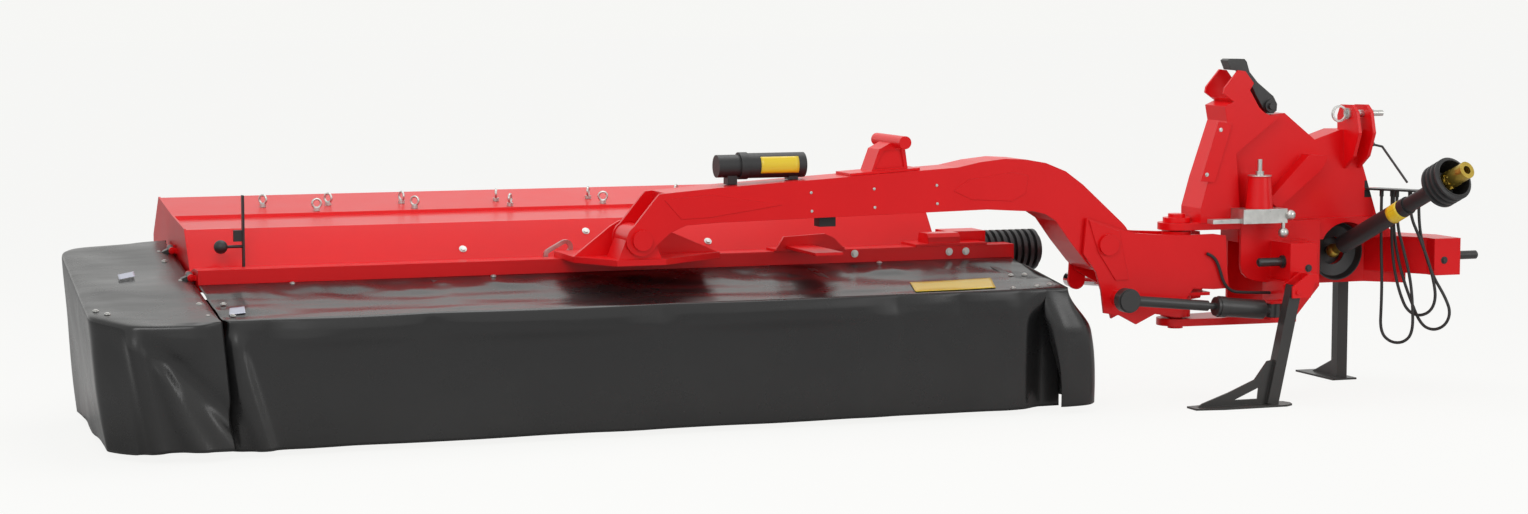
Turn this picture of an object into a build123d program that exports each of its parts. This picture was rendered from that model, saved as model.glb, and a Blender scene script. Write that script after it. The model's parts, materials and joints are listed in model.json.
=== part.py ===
"""Rear-mounted disc mower conditioner, parked on its skids and two stands.

Millimetres, +Z up, +X along the cutterbar towards the hitch, +Y rearwards, away from the tractor.
Heights are above the ground. Lengths and depths are stated from the datum, the front left
corner of the main guard, and the planes below move them to the part's origin, which is the
middle of the machine's base.
"""
from build123d import *
from math import cos, pi, radians, sin, sqrt, tan
import os

os.makedirs("parts", exist_ok=True)

# ---------------------------------------------------------------- driving dimensions
PLATE = 14.0                    # frame plates
SHEET = 4.0                     # guards, hood and curtains
FIT = 0.3                       # seat clearance between pieces of different bodies
RUNNING = 0.05                  # radial clearance of a pin in its bore
CLEAR = 6.0                     # clearance beside moving pieces

# Cutterbar and discs
DISC_COUNT = 8
DISC_PITCH = 410.0
FIRST_DISC_X = 215.0
DISC_Y = 400.0
DISC_LONG, DISC_SHORT = 155.0, 95.0
DISC_THICK = 8.0
DISC_RISE = 26.0                # crown above the disc plate
BLADE_REACH = 262.0             # radius of the blade tips' circle
BLADE_WIDTH = 48.0
BLADE_THICK = 4.0
BAR_WIDTH = 260.0
BAR_Z, BAR_HEIGHT = 26.0, 48.0
BAR_END = 20.0                  # bar left past the outer blade circles' centres
HUB_RADIUS, HUB_HEIGHT = 48.0, 20.0
SKID_THICK = 6.0
SKID_WIDTH = 250.0

# Guards
GUARD_LENGTH = 3350.0
GUARD_TOP_Z = 513.0             # front upper edge of the curtain
GUARD_REAR_Y, GUARD_REAR_Z = 556.0, 590.0
HEM_Z = 25.0
RAIL = 30.0                     # square tube of the guard frames
RAIL_WALL = 3.0
OUTER_REACH = 530.0             # how far the outer guard stands out to the left
OUTER_REAR_Y = 1260.0
OUTER_HINGE_X = -76.0
OUTER_HINGE_RISE = 14.0         # hinge axis above the guard's sloping top
HINGE_PIN_RADIUS = 8.0
KNUCKLE_RADIUS, KNUCKLE_LENGTH = 14.0, 50.0

# Mower frame
BEAM_Y, BEAM_DEPTH = 560.0, 100.0
BEAM_Z, BEAM_HEIGHT = 560.0, 84.0
BEAM_WALL = 6.0
LEFT_PLATE_X = -58.0
END_PLATE = 8.0

# Conditioner
HOOD_RIGHT_X = 3100.0
HOOD_REAR_Y = 1720.0
ROTOR_Y, ROTOR_Z = 1000.0, 400.0
ROTOR_TUBE_RADIUS, ROTOR_WALL = 84.0, 8.0
ROTOR_SHAFT_RADIUS = 25.0
TINE_REACH = 250.0
TINE_PITCH = 150.0
TINE_ROWS = 4
TINE_THICK = 12.0
BOARD_LENGTH, BOARD_HEIGHT, BOARD_THICK = 380.0, 330.0, 5.0
BOARD_HINGE_Y, BOARD_TOP_Z = 1310.0, 600.0
BOARD_PIN_RADIUS = 12.0

# Carrying arm, side view from the front
ARM_Y, ARM_DEPTH = 160.0, 200.0
PIVOT_X, PIVOT_Z = 1598.0, 744.0
LOBE_RADIUS = 62.0
LOBE_PLATE = 16.0
PIVOT_PIN_RADIUS = 25.0
FOLD_X, FOLD_Z = 3605.0, 668.0
FOLD_EYE_RADIUS = 115.0
FOLD_PIN_RADIUS = 30.0
SADDLE_TUBE_X = 2686.0
SADDLE_TUBE_RADIUS, SADDLE_TUBE_LENGTH = 26.0, 300.0
SADDLE_TUBE_Z = 1107.0
TUBE_BOX_X, TUBE_BOX_LENGTH, TUBE_BOX_RADIUS = 1938.0, 368.0, 50.0
STOP_X = 2405.0                 # rubber stop below the arm

# Swing frame on the kingpin
KINGPIN_X, KINGPIN_Y = 3985.0, 260.0
KINGPIN_RADIUS = 32.0
SLEEVE_RADIUS = 62.0
SLEEVE_BOTTOM, SLEEVE_TOP = 345.0, 706.0
LUG_THICK = 30.0
LUG_RADIUS = 80.0

# Break-away cylinder, in front of the swing frame
BREAK_Y = 45.0
BREAK_EYE_X, BREAK_EYE_Z = 3649.0, 445.0
BREAK_BASE_X, BREAK_BASE_Z = 4330.0, 379.0
BREAK_EYE_RADIUS, BREAK_EYE_DEPTH = 50.0, 60.0
BREAK_EYE_GAP = 15.0            # the open pivot, between the eye and the cheek's boss
BREAK_BARREL_RADIUS, BREAK_BARREL_LENGTH = 40.0, 262.0
BREAK_ROD_RADIUS = 14.0
BREAK_SLEEVE_RADIUS = 22.0

# Lift cylinder, behind the swing frame
LIFT_Y = 432.0
LIFT_EYE_DX, LIFT_EYE_DZ = -20.0, -170.0   # crank eye from the fold axis
LIFT_BASE_X, LIFT_BASE_Z = 4130.0, 440.0
LIFT_BARREL_RADIUS, LIFT_BARREL_LENGTH = 40.0, 330.0
LIFT_ROD_RADIUS = 20.0
LIFT_EYE_RADIUS = 38.0
LIFT_PIN_RADIUS = 15.0

# Headstock and hitch
HITCH_X = 4795.0
LINK_SPREAD = 825.0             # between the lower pins' shoulders
LINK_PIN_Y, LINK_PIN_Z = 60.0, 580.0
LINK_PIN_RADIUS = 18.3
LINK_PIN_LENGTH = 120.0
LINK_SHANK_RADIUS, LINK_SHANK_LENGTH = 15.0, 80.0   # through the bracket
LINK_COLLAR_RADIUS, LINK_COLLAR = 27.0, 8.0
TOP_PIN_Y = 175.0
MAST_HEIGHT = 610.0
TOP_PIN_RADIUS, TOP_PIN_END_RADIUS = 15.9, 12.7
TOP_GAP = 54.0                  # between the top link ears
EAR = 15.0
BRACKET_Z, BRACKET_HEIGHT = 503.0, 157.0
BRACKET_WIDTH = 128.0
MAST_Y, MAST_DEPTH = 170.0, 172.0
INPUT_X, INPUT_Y, INPUT_Z = 4765.0, 300.0, 594.0
INPUT_CONE_RADIUS = 125.0
INPUT_BORE = 64.0
BEAM_FACE_Y = 312.0             # front face of the hitch beam round the input

# Drive shaft from its joint in the input cone to the tractor's end
SHAFT_TIP = (4900.0, -500.0, 987.0)
GUARD_TUBE_RADIUS, INNER_TUBE_RADIUS = 39.0, 33.0
CONE_RADIUS = 92.0
YOKE_RADIUS, SPLINE_RADIUS, SPLINE_DEPTH = 36.0, 17.5, 70.0
INNER_SHAFT_RADIUS = 22.0
JOINT_BALL = 30.0               # housing of the joint at the input

# Stands
STAND_SIDE, STAND_WALL = 50.0, 4.0
LEFT_STAND_FOOT_X, LEFT_STAND_Y = 4245.0, -88.0
LEFT_STAND_PIVOT_X, LEFT_STAND_PIVOT_Z = 4345.0, 470.0
RIGHT_STAND_X, RIGHT_STAND_Y = 4945.0, 530.0
FOOT_THICK = 8.0
STAND_PIN_RADIUS = 10.0

# Transport hook on the mast
HOOK_X, HOOK_Z = 4392.0, 1226.0
HOOK_PIN_RADIUS = 14.0

# ---------------------------------------------------------------- worked out from them
TOP_PIN_Z = LINK_PIN_Z + MAST_HEIGHT
LEFT_SHOULDER = HITCH_X - LINK_SPREAD / 2
RIGHT_SHOULDER = HITCH_X + LINK_SPREAD / 2
LAST_DISC_X = FIRST_DISC_X + (DISC_COUNT - 1) * DISC_PITCH
FLAP_X = LAST_DISC_X + BLADE_REACH + CLEAR      # the front curtain's side flap
RIGHT_PLATE_X = FLAP_X + SHEET + 9
DISC_Z = BAR_Z + BAR_HEIGHT + HUB_HEIGHT + FIT
ARM_BACK = ARM_Y + ARM_DEPTH
CHEEK_FRONT_Y = ARM_Y - CLEAR - PLATE
CHEEK_BACK_Y = ARM_BACK + CLEAR
SHAFT_RUN = [SHAFT_TIP[i] - (INPUT_X, INPUT_Y, INPUT_Z)[i] for i in range(3)]
SHAFT_LENGTH = sqrt(sum(run * run for run in SHAFT_RUN))
SHAFT_DIR = tuple(run / SHAFT_LENGTH for run in SHAFT_RUN)

# Ends of the whole machine, which place its origin
X_LEFT = -OUTER_REACH
X_RIGHT = RIGHT_SHOULDER + LINK_PIN_LENGTH
Y_FRONT = SHAFT_TIP[1] - YOKE_RADIUS * sqrt(1 - SHAFT_DIR[1] ** 2)
Y_BACK = HOOD_REAR_Y
ORIGIN_X = (X_LEFT + X_RIGHT) / 2
ORIGIN_Y = (Y_FRONT + Y_BACK) / 2


def at(x, y, z):
    """A place stated from the datum, moved to the part's origin."""
    return (x - ORIGIN_X, y - ORIGIN_Y, z)


def facing_front(y):
    """Sketch plane with local x = X and y = Z; a positive extrusion goes forwards."""
    return Plane(origin=at(0, y, 0), x_dir=(1, 0, 0), z_dir=(0, -1, 0))


def facing_hitch(x):
    """Sketch plane with local x = Y and y = Z; a positive extrusion goes towards the hitch."""
    return Plane(origin=at(x, 0, 0), x_dir=(0, 1, 0), z_dir=(1, 0, 0))


def facing_up(z):
    """Sketch plane with local x = X and y = Y; a positive extrusion goes up."""
    return Plane(origin=at(0, 0, z))


def front_plate(points, y, thickness, mode=Mode.ADD):
    """A plate parallel to the front, its front face at y."""
    with BuildSketch(facing_front(y + thickness)) as outline:
        with BuildLine():
            Polyline(*points, close=True)
        make_face()
    extrude(outline.sketch, amount=thickness, mode=mode)


def side_plate(points, x, thickness, mode=Mode.ADD):
    """A plate across the machine from x towards the hitch; points are (depth, height)."""
    with BuildSketch(facing_hitch(x)) as outline:
        with BuildLine():
            Polyline(*points, close=True)
        make_face()
    extrude(outline.sketch, amount=thickness, mode=mode)


def flat_plate(points, z, thickness, mode=Mode.ADD):
    """A level plate, its lower face at z."""
    with BuildSketch(facing_up(z)) as outline:
        with BuildLine():
            Polyline(*points, close=True)
        make_face()
    extrude(outline.sketch, amount=thickness, mode=mode)


def block(x, y, z, mode=Mode.ADD):
    """A box between three (low, high) pairs."""
    with BuildSketch(facing_up(z[0])) as outline:
        with Locations(((x[0] + x[1]) / 2, (y[0] + y[1]) / 2)):
            Rectangle(x[1] - x[0], y[1] - y[0])
    extrude(outline.sketch, amount=z[1] - z[0], mode=mode)


def pin_along_x(x, y, z, radius, length, mode=Mode.ADD):
    """A round bar from x towards the hitch."""
    with BuildSketch(facing_hitch(x)) as outline:
        with Locations((y, z)):
            Circle(radius)
    extrude(outline.sketch, amount=length, mode=mode)


def pin_along_y(x, y, z, radius, length, mode=Mode.ADD):
    """A round bar from y rearwards."""
    with BuildSketch(facing_front(y + length)) as outline:
        with Locations((x, z)):
            Circle(radius)
    extrude(outline.sketch, amount=length, mode=mode)


def pin_along_z(x, y, z, radius, length, mode=Mode.ADD):
    """An upright round bar from z upwards."""
    with BuildSketch(facing_up(z)) as outline:
        with Locations((x, y)):
            Circle(radius)
    extrude(outline.sketch, amount=length, mode=mode)


def between(start, end):
    """Length and unit direction from one place to another."""
    run = [end[i] - start[i] for i in range(3)]
    length = sqrt(sum(step * step for step in run))
    return length, tuple(step / length for step in run)


def bar(start, direction, begin, length, radius, mode=Mode.ADD):
    """A round bar on an axis through start, from begin along it."""
    foot = [start[i] + direction[i] * begin for i in range(3)]
    with BuildSketch(Plane(origin=at(*foot), z_dir=direction)) as outline:
        Circle(radius)
    extrude(outline.sketch, amount=length, mode=mode)


def bent_sheet(points, x, length, thickness, mode=Mode.ADD):
    """A folded sheet: its outer face follows the (depth, height) points, from x for a length."""
    with BuildSketch(facing_hitch(x)) as outline:
        with BuildLine():
            Polyline(*points)
            offset(amount=thickness, side=Side.RIGHT, kind=Kind.INTERSECTION)
        make_face()
    extrude(outline.sketch, amount=length, mode=mode)


pieces = {}                     # node name: its finished BuildPart


# ================================================================ cutterbar and discs
with BuildPart() as cutterbar:
    bar_x = (FIRST_DISC_X - DISC_LONG - BAR_END, LAST_DISC_X + DISC_LONG + BAR_END)
    block(bar_x, (DISC_Y - BAR_WIDTH / 2, DISC_Y + BAR_WIDTH / 2), (BAR_Z, BAR_Z + BAR_HEIGHT))
    chamfer(cutterbar.edges().filter_by(Axis.X).sort_by(Axis.Z)[-2:], 14)
    for number in range(DISC_COUNT):
        pin_along_z(FIRST_DISC_X + number * DISC_PITCH, DISC_Y, BAR_Z + BAR_HEIGHT, HUB_RADIUS,
                    HUB_HEIGHT)
    # feet that tie the bar to both end plates
    for low, high in ((LEFT_PLATE_X + END_PLATE, bar_x[0]), (bar_x[1], RIGHT_PLATE_X)):
        block((low, high), (DISC_Y + 60, DISC_Y + BAR_WIDTH / 2), (BAR_Z, BAR_Z + BAR_HEIGHT - 14))
pieces["cutterbar"] = cutterbar

with BuildPart() as skids:
    skid_profile = [(DISC_Y - BAR_WIDTH / 2 - 45, 62), (DISC_Y - BAR_WIDTH / 2 - 8, 14),
                    (DISC_Y - BAR_WIDTH / 2 + 40, BAR_Z - SKID_THICK - 20),
                    (DISC_Y + BAR_WIDTH / 2 - 20, BAR_Z - SKID_THICK - 20),
                    (DISC_Y + BAR_WIDTH / 2 + 40, BAR_Z - SKID_THICK - 8)]
    for number in range(DISC_COUNT):
        skid_x = FIRST_DISC_X + number * DISC_PITCH - SKID_WIDTH / 2
        bent_sheet(skid_profile[::-1], skid_x, SKID_WIDTH, SKID_THICK)
        # spacer that carries the skid below the bar
        block((skid_x + 40, skid_x + SKID_WIDTH - 40), (DISC_Y - 80, DISC_Y + 80),
              (SKID_THICK - 1, BAR_Z - FIT))
pieces["skids"] = skids

for number in range(DISC_COUNT):
    disc_x = FIRST_DISC_X + number * DISC_PITCH
    turn = 90 * (number % 2)
    centre = Plane(origin=at(disc_x, DISC_Y, DISC_Z)).rotated((0, 0, turn))
    with BuildPart() as disc:
        with BuildSketch(centre):
            Ellipse(DISC_LONG, DISC_SHORT)
        extrude(amount=DISC_THICK)
        with BuildSketch(centre.offset(DISC_THICK)):
            Ellipse(DISC_LONG * 0.62, DISC_SHORT * 0.75)
        extrude(amount=DISC_RISE, taper=38)
        # two swinging blades below the plate's ends, each on its bolt
        with BuildSketch(centre.offset(-BLADE_THICK)):
            for side in (1, -1):
                with Locations((side * (BLADE_REACH + DISC_LONG - 40) / 2, 0)):
                    Rectangle(BLADE_REACH - DISC_LONG + 40, BLADE_WIDTH)
        extrude(amount=BLADE_THICK)
        with BuildSketch(centre.offset(-BLADE_THICK - 8)):
            with Locations((DISC_LONG - 22, 0), (22 - DISC_LONG, 0)):
                Circle(12)
        extrude(amount=8)
    pieces[f"disc_{number + 1}"] = disc

# ================================================================ mower frame
with BuildPart() as cross_beam:
    beam_x = (LEFT_PLATE_X + END_PLATE, RIGHT_PLATE_X)
    block(beam_x, (BEAM_Y, BEAM_Y + BEAM_DEPTH), (BEAM_Z, BEAM_Z + BEAM_HEIGHT))
    block(beam_x, (BEAM_Y + BEAM_WALL, BEAM_Y + BEAM_DEPTH - BEAM_WALL),
          (BEAM_Z + BEAM_WALL, BEAM_Z + BEAM_HEIGHT - BEAM_WALL), Mode.SUBTRACT)
pieces["cross_beam"] = cross_beam

# Hood outline across the machine, (depth, height), from the beam's back to the rear lip
hood_outline = [(BEAM_Y + BEAM_DEPTH + FIT, 612), (760, 618), (890, 775), (1196, 793), (1202, 806),
                (1560, 856), (HOOD_REAR_Y, 690), (HOOD_REAR_Y, 625)]
HOOD_LEFT_X = LEFT_PLATE_X + END_PLATE


def hood_line(y):
    """Slope and height of the hood's outer face at a depth."""
    for (y_low, z_low), (y_high, z_high) in zip(hood_outline, hood_outline[1:]):
        if y_low <= y <= y_high:
            slope = (z_high - z_low) / (y_high - y_low)
            return slope, z_low + (y - y_low) * slope


def below_hood(y):
    """Height of the hood's inner face at a depth."""
    slope, height = hood_line(y)
    return height - SHEET * sqrt(1 + slope * slope)


with BuildPart() as conditioner_hood:
    bent_sheet(hood_outline, HOOD_LEFT_X + FIT, HOOD_RIGHT_X - HOOD_LEFT_X - 2 * FIT, SHEET)
pieces["conditioner_hood"] = conditioner_hood

# Hinge of the outer guard, along the guard's sloping top
hinge_length, hinge_dir = between((0, 0, 0), (0, GUARD_REAR_Y, GUARD_REAR_Z - GUARD_TOP_Z))
hinge_foot = (OUTER_HINGE_X, 0, GUARD_TOP_Z + OUTER_HINGE_RISE)
hinge_stretch = hinge_length / GUARD_REAR_Y
HINGE_PLACES = (620.0, 1090.0)  # depths where the knuckles start
OUTER_RAIL_X = OUTER_HINGE_X - 22 - RAIL

end_outline = [(470, 32), (470, 100), (590, 300), (590, 560), (BEAM_Y, 560), (BEAM_Y, 644),
               (BEAM_Y + BEAM_DEPTH, 644), (760, 622), (890, 779), (1200, 810), (1560, 860),
               (HOOD_REAR_Y, 694), (HOOD_REAR_Y, 480), (1380, 250), (900, 110), (700, 32)]
for side, plate_x, outline in (
        ("left", LEFT_PLATE_X, end_outline),
        ("right", RIGHT_PLATE_X, end_outline[:7] + [(BEAM_Y + BEAM_DEPTH, 500), (640, 200),
                                                    (640, 32)])):
    with BuildPart() as end_plate:
        side_plate(outline, plate_x, END_PLATE)
        if side == "left":
            pin_along_x(plate_x, ROTOR_Y, ROTOR_Z, ROTOR_SHAFT_RADIUS + RUNNING, END_PLATE,
                        Mode.SUBTRACT)
            for place in HINGE_PLACES:
                start = place * hinge_stretch
                for lug_start in (start - FIT - 8, start + KNUCKLE_LENGTH + FIT):
                    bar(hinge_foot, hinge_dir, lug_start, 8, KNUCKLE_RADIUS)
                    lug_y = lug_start / hinge_stretch
                    lug_z = hinge_foot[2] + lug_y * (GUARD_REAR_Z - GUARD_TOP_Z) / GUARD_REAR_Y
                    block((OUTER_HINGE_X, LEFT_PLATE_X + 2), (lug_y + 2, lug_y + 6),
                          (lug_z - 11, lug_z + 11))
                bar(hinge_foot, hinge_dir, start - 14, KNUCKLE_LENGTH + 28, HINGE_PIN_RADIUS)
    pieces[f"end_plate_{side}"] = end_plate

with BuildPart() as bearing_plate:
    # carries the rotor's inner bearing and closes the hood's inner end
    plate_start = BEAM_Y + BEAM_DEPTH + FIT
    side_plate([(plate_start, 400), (plate_start, 608), (760, 614), (890, 771), (1200, 800),
                (1560, 850), (HOOD_REAR_Y - 2, 686), (HOOD_REAR_Y - 2, 480), (1380, 260),
                (760, 260)], HOOD_RIGHT_X, END_PLATE)
    pin_along_x(HOOD_RIGHT_X, ROTOR_Y, ROTOR_Z, ROTOR_SHAFT_RADIUS + RUNNING, END_PLATE,
                Mode.SUBTRACT)
pieces["bearing_plate"] = bearing_plate

with BuildPart() as tine_rotor:
    rotor_x = (LEFT_PLATE_X + END_PLATE + 10, HOOD_RIGHT_X - 10)
    rotor_length = rotor_x[1] - rotor_x[0]
    pin_along_x(rotor_x[0], ROTOR_Y, ROTOR_Z, ROTOR_TUBE_RADIUS, rotor_length)
    pin_along_x(rotor_x[0], ROTOR_Y, ROTOR_Z, ROTOR_TUBE_RADIUS - ROTOR_WALL, rotor_length,
                Mode.SUBTRACT)
    for end_x, shaft_x in ((rotor_x[0] + 20, LEFT_PLATE_X - 30),
                           (rotor_x[1] - 20 - PLATE, rotor_x[1] - 80)):
        pin_along_x(end_x, ROTOR_Y, ROTOR_Z, ROTOR_TUBE_RADIUS - ROTOR_WALL / 2, PLATE)
        pin_along_x(shaft_x, ROTOR_Y, ROTOR_Z, ROTOR_SHAFT_RADIUS, 160)
        with BuildSketch(facing_hitch(end_x)) as lightening:
            with Locations((ROTOR_Y, ROTOR_Z)):
                with PolarLocations(50, 4):
                    Circle(12)
        extrude(lightening.sketch, amount=PLATE, mode=Mode.SUBTRACT)
    # rows of V-shaped finger pairs, open outwards, every second row half a pitch further on
    tine_count = int((rotor_length - TINE_PITCH) / TINE_PITCH)
    for row in range(TINE_ROWS):
        row_angle = 360 / TINE_ROWS * row
        row_start = rotor_x[0] + TINE_PITCH * (0.75 + 0.5 * (row % 2))
        row_face = Plane(origin=at(0, ROTOR_Y, ROTOR_Z), x_dir=(1, 0, 0), z_dir=(0, -1, 0))
        row_face = row_face.rotated((row_angle, 0, 0)).offset(-TINE_THICK / 2)
        with BuildSketch(row_face) as fingers:
            with Locations(*[(row_start + number * TINE_PITCH, 0) for number in range(tine_count)]):
                Polygon((-16, ROTOR_TUBE_RADIUS - 4), (16, ROTOR_TUBE_RADIUS - 4),
                        (52, TINE_REACH - 8), (34, TINE_REACH), (0, ROTOR_TUBE_RADIUS + 52),
                        (-34, TINE_REACH), (-52, TINE_REACH - 8), align=None)
        extrude(fingers.sketch, amount=TINE_THICK)
pieces["tine_rotor"] = tine_rotor

for side, hinge_x, inward in (("left", 110.0, 1), ("right", 2950.0, -1)):
    with BuildPart() as swath_board:
        board_z = BOARD_TOP_Z - BOARD_HEIGHT
        flat_plate([(hinge_x - BOARD_THICK / 2, BOARD_HINGE_Y + 8),
                    (hinge_x + BOARD_THICK / 2, BOARD_HINGE_Y + 8),
                    (hinge_x + BOARD_THICK / 2 + inward * 60, BOARD_HINGE_Y + BOARD_LENGTH),
                    (hinge_x - BOARD_THICK / 2 + inward * 60, BOARD_HINGE_Y + BOARD_LENGTH)],
                   board_z, BOARD_HEIGHT)
        pin_along_z(hinge_x, BOARD_HINGE_Y, board_z, BOARD_PIN_RADIUS,
                    below_hood(BOARD_HINGE_Y - BOARD_PIN_RADIUS) - FIT - board_z)
    pieces[f"swath_board_{side}"] = swath_board

# ================================================================ guards
GUARD_SLOPE = (GUARD_REAR_Z - GUARD_TOP_Z) / GUARD_REAR_Y


def below_guard(y):
    """Height just below the guard's sloping top sheet."""
    return GUARD_TOP_Z + GUARD_SLOPE * y - SHEET * sqrt(1 + GUARD_SLOPE ** 2) - FIT


with BuildPart() as front_guard_frame:
    rail_y = 40.0
    rail_z = below_guard(rail_y)
    # front rail and the struts that carry it from the cross beam
    block((0, GUARD_LENGTH - 60), (rail_y, rail_y + RAIL), (rail_z - RAIL, rail_z))
    strut_y = (rail_y + RAIL / 2, BEAM_Y - FIT)
    for number in range(5):
        strut_x = 60 + number * (GUARD_LENGTH - 210) / 4
        side_plate([(strut_y[0], below_guard(strut_y[0])), (strut_y[1], below_guard(strut_y[1])),
                    (strut_y[1], below_guard(strut_y[1]) - RAIL), (strut_y[0], rail_z - RAIL)],
                   strut_x, RAIL)
pieces["front_guard_frame"] = front_guard_frame

with BuildPart() as front_curtain:
    bent_sheet([(0, HEM_Z), (0, GUARD_TOP_Z), (GUARD_REAR_Y, GUARD_REAR_Z)], -40,
               FLAP_X + SHEET + 40, SHEET)
    # the inner end hangs down as a side flap
    side_plate([(0, HEM_Z), (0, GUARD_TOP_Z), (430, GUARD_TOP_Z + 430 * GUARD_SLOPE), (430, 110)],
               FLAP_X, SHEET)
pieces["front_curtain"] = front_curtain

# Plan of the outer guard, from its inner front corner round to its inner rear corner
outer_plan = [(-66, -30), (-150, -66), (-400, -36), (-OUTER_REACH, 130), (-OUTER_REACH + 30, 1200),
              (-OUTER_REACH + 80, OUTER_REAR_Y), (-66, OUTER_REAR_Y + 60)]


def outer_shell(grow, top):
    """The outer guard's plan pulled in by -grow, cut by its sloping top plane."""
    with BuildSketch(facing_up(HEM_Z + 5)) as outline:
        with BuildLine():
            Polyline(*outer_plan, close=True)
        make_face()
        offset(amount=grow, kind=Kind.INTERSECTION)
    with BuildPart() as body:
        extrude(outline.sketch, amount=700)
        slope = Plane(origin=at(0, 0, top), x_dir=(1, 0, 0),
                      z_dir=(0, -(GUARD_REAR_Z - GUARD_TOP_Z), GUARD_REAR_Y))
        split(bisect_by=slope, keep=Keep.BOTTOM)
    return body.part


with BuildPart() as outer_curtain:
    add(outer_shell(0, GUARD_TOP_Z))
    add(outer_shell(-SHEET, GUARD_TOP_Z - SHEET), mode=Mode.SUBTRACT)
    # open towards the mower, and notched where the hinges stand
    block((-72, 0), (-200, OUTER_REAR_Y + 200), (0, 540), Mode.SUBTRACT)
    for place in HINGE_PLACES:
        block((OUTER_RAIL_X - 2, 0), (place - 30, place + KNUCKLE_LENGTH + 24), (400, 800),
              Mode.SUBTRACT)
pieces["outer_curtain"] = outer_curtain

with BuildPart() as outer_guard_frame:
    frame_start = -OUTER_REACH + 40
    for outer_x, y in ((frame_start + 40, 60.0), (frame_start, 560.0), (frame_start, 1150.0)):
        block((outer_x, OUTER_RAIL_X + RAIL), (y, y + RAIL), (below_guard(y) - RAIL, below_guard(y)))
    for rail_x, front_y in ((OUTER_RAIL_X, 60), (frame_start, 160)):
        side_plate([(front_y, below_guard(front_y)), (front_y, below_guard(front_y) - RAIL),
                    (1180, below_guard(1180) - RAIL), (1180, below_guard(1180))], rail_x, RAIL)
    for place in HINGE_PLACES:
        leaf_z = below_guard(place)
        front_plate([(OUTER_RAIL_X + 2, leaf_z - 12), (OUTER_RAIL_X + 2, leaf_z + 8),
                     (OUTER_HINGE_X - 4, leaf_z + OUTER_HINGE_RISE + 14),
                     (OUTER_HINGE_X - 2, leaf_z + OUTER_HINGE_RISE - 4),
                     (OUTER_RAIL_X + RAIL, leaf_z - 12)], place + 2, KNUCKLE_LENGTH - 8)
        bar(hinge_foot, hinge_dir, place * hinge_stretch, KNUCKLE_LENGTH, KNUCKLE_RADIUS)
        bar(hinge_foot, hinge_dir, place * hinge_stretch - 5, KNUCKLE_LENGTH + 10,
            HINGE_PIN_RADIUS + RUNNING, Mode.SUBTRACT)
pieces["outer_guard_frame"] = outer_guard_frame

# ================================================================ arm and centre pivot
arm_box = [(1700, 925), (1895, 940), (2938, 1000), (3040, 1020), (3150, 1031), (3240, 1026),
           (3330, 1010), (3420, 974), (3498, 918), (FOLD_X + 74, FOLD_Z + 88),
           (FOLD_X - 86, FOLD_Z - 76), (3445, 680), (3377, 771), (3330, 800), (3280, 813),
           (3206, 817), (3069, 826), (1895, 804), (1780, 797), (1700, 775)]
lobe_plate = [(PIVOT_X - 58, PIVOT_Z + 22), (1655, 905), (1672, 923), (1895, 940), (1895, 804),
              (1780, 797), (1715, 770), (PIVOT_X + 56, PIVOT_Z - 26)]
with BuildPart() as arm_beam:
    front_plate(arm_box, ARM_Y, ARM_DEPTH)
    pin_along_y(FOLD_X, ARM_Y, FOLD_Z, FOLD_EYE_RADIUS, ARM_DEPTH)
    for lobe_y in (ARM_Y, ARM_BACK - LOBE_PLATE):
        front_plate(lobe_plate, lobe_y, LOBE_PLATE)
        pin_along_y(PIVOT_X, lobe_y, PIVOT_Z, LOBE_RADIUS, LOBE_PLATE)
    pin_along_y(PIVOT_X, ARM_Y, PIVOT_Z, PIVOT_PIN_RADIUS + RUNNING, ARM_DEPTH, Mode.SUBTRACT)
    pin_along_y(FOLD_X, ARM_Y, FOLD_Z, FOLD_PIN_RADIUS + RUNNING, ARM_DEPTH, Mode.SUBTRACT)
    # stiffening plates on the front face, at the neck and at the lobe
    front_plate([(1690, 900), (1880, 915), (2180, 868), (1880, 826), (1760, 822)], ARM_Y - 3, 3)
    front_plate([(2920, 905), (2985, 950), (3180, 975), (3250, 960), (3240, 890), (3180, 858),
                 (3000, 868)], ARM_Y - 3, 3)
pieces["arm_beam"] = arm_beam

with BuildPart() as saddle_bracket:
    saddle_mid = (ARM_Y + ARM_BACK) / 2
    base_z = 984 + FIT
    front_plate([(2478, base_z - 10), (2779, base_z + 7), (2779, base_z + 17), (2478, base_z)],
                ARM_Y + 20, ARM_DEPTH - 40)
    front_plate([(2575, base_z), (2735, base_z + 9), (2722, SADDLE_TUBE_Z - 24),
                 (2700, SADDLE_TUBE_Z), (2660, SADDLE_TUBE_Z - 4), (2610, SADDLE_TUBE_Z - 30)],
                saddle_mid - 60, 120)
    front_plate([(2590, base_z + 14), (2720, base_z + 22), (2706, SADDLE_TUBE_Z - 30),
                 (2630, SADDLE_TUBE_Z - 36)], saddle_mid - 60, 8, Mode.SUBTRACT)
    pin_along_y(SADDLE_TUBE_X, saddle_mid - SADDLE_TUBE_LENGTH / 2, SADDLE_TUBE_Z,
                SADDLE_TUBE_RADIUS, SADDLE_TUBE_LENGTH)
pieces["saddle_bracket"] = saddle_bracket

with BuildPart() as document_tube:
    tube_z = 952 + TUBE_BOX_RADIUS + 18
    tube_axis = (ARM_Y + ARM_BACK) / 2
    pin_along_x(TUBE_BOX_X + 96, tube_axis, tube_z, TUBE_BOX_RADIUS, TUBE_BOX_LENGTH - 96)
    pin_along_x(TUBE_BOX_X, tube_axis, tube_z, TUBE_BOX_RADIUS - 5, 96)
    pin_along_x(TUBE_BOX_X + 92, tube_axis, tube_z, TUBE_BOX_RADIUS + 4, 34)
    for foot_x in (TUBE_BOX_X + 40, TUBE_BOX_X + TUBE_BOX_LENGTH - 70):
        foot_z = 940 + (foot_x - 1895) * 0.0575 + FIT
        block((foot_x, foot_x + 40), (tube_axis - 25, tube_axis + 25), (foot_z + 2.5, tube_z - 30))
pieces["document_tube"] = document_tube

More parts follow.
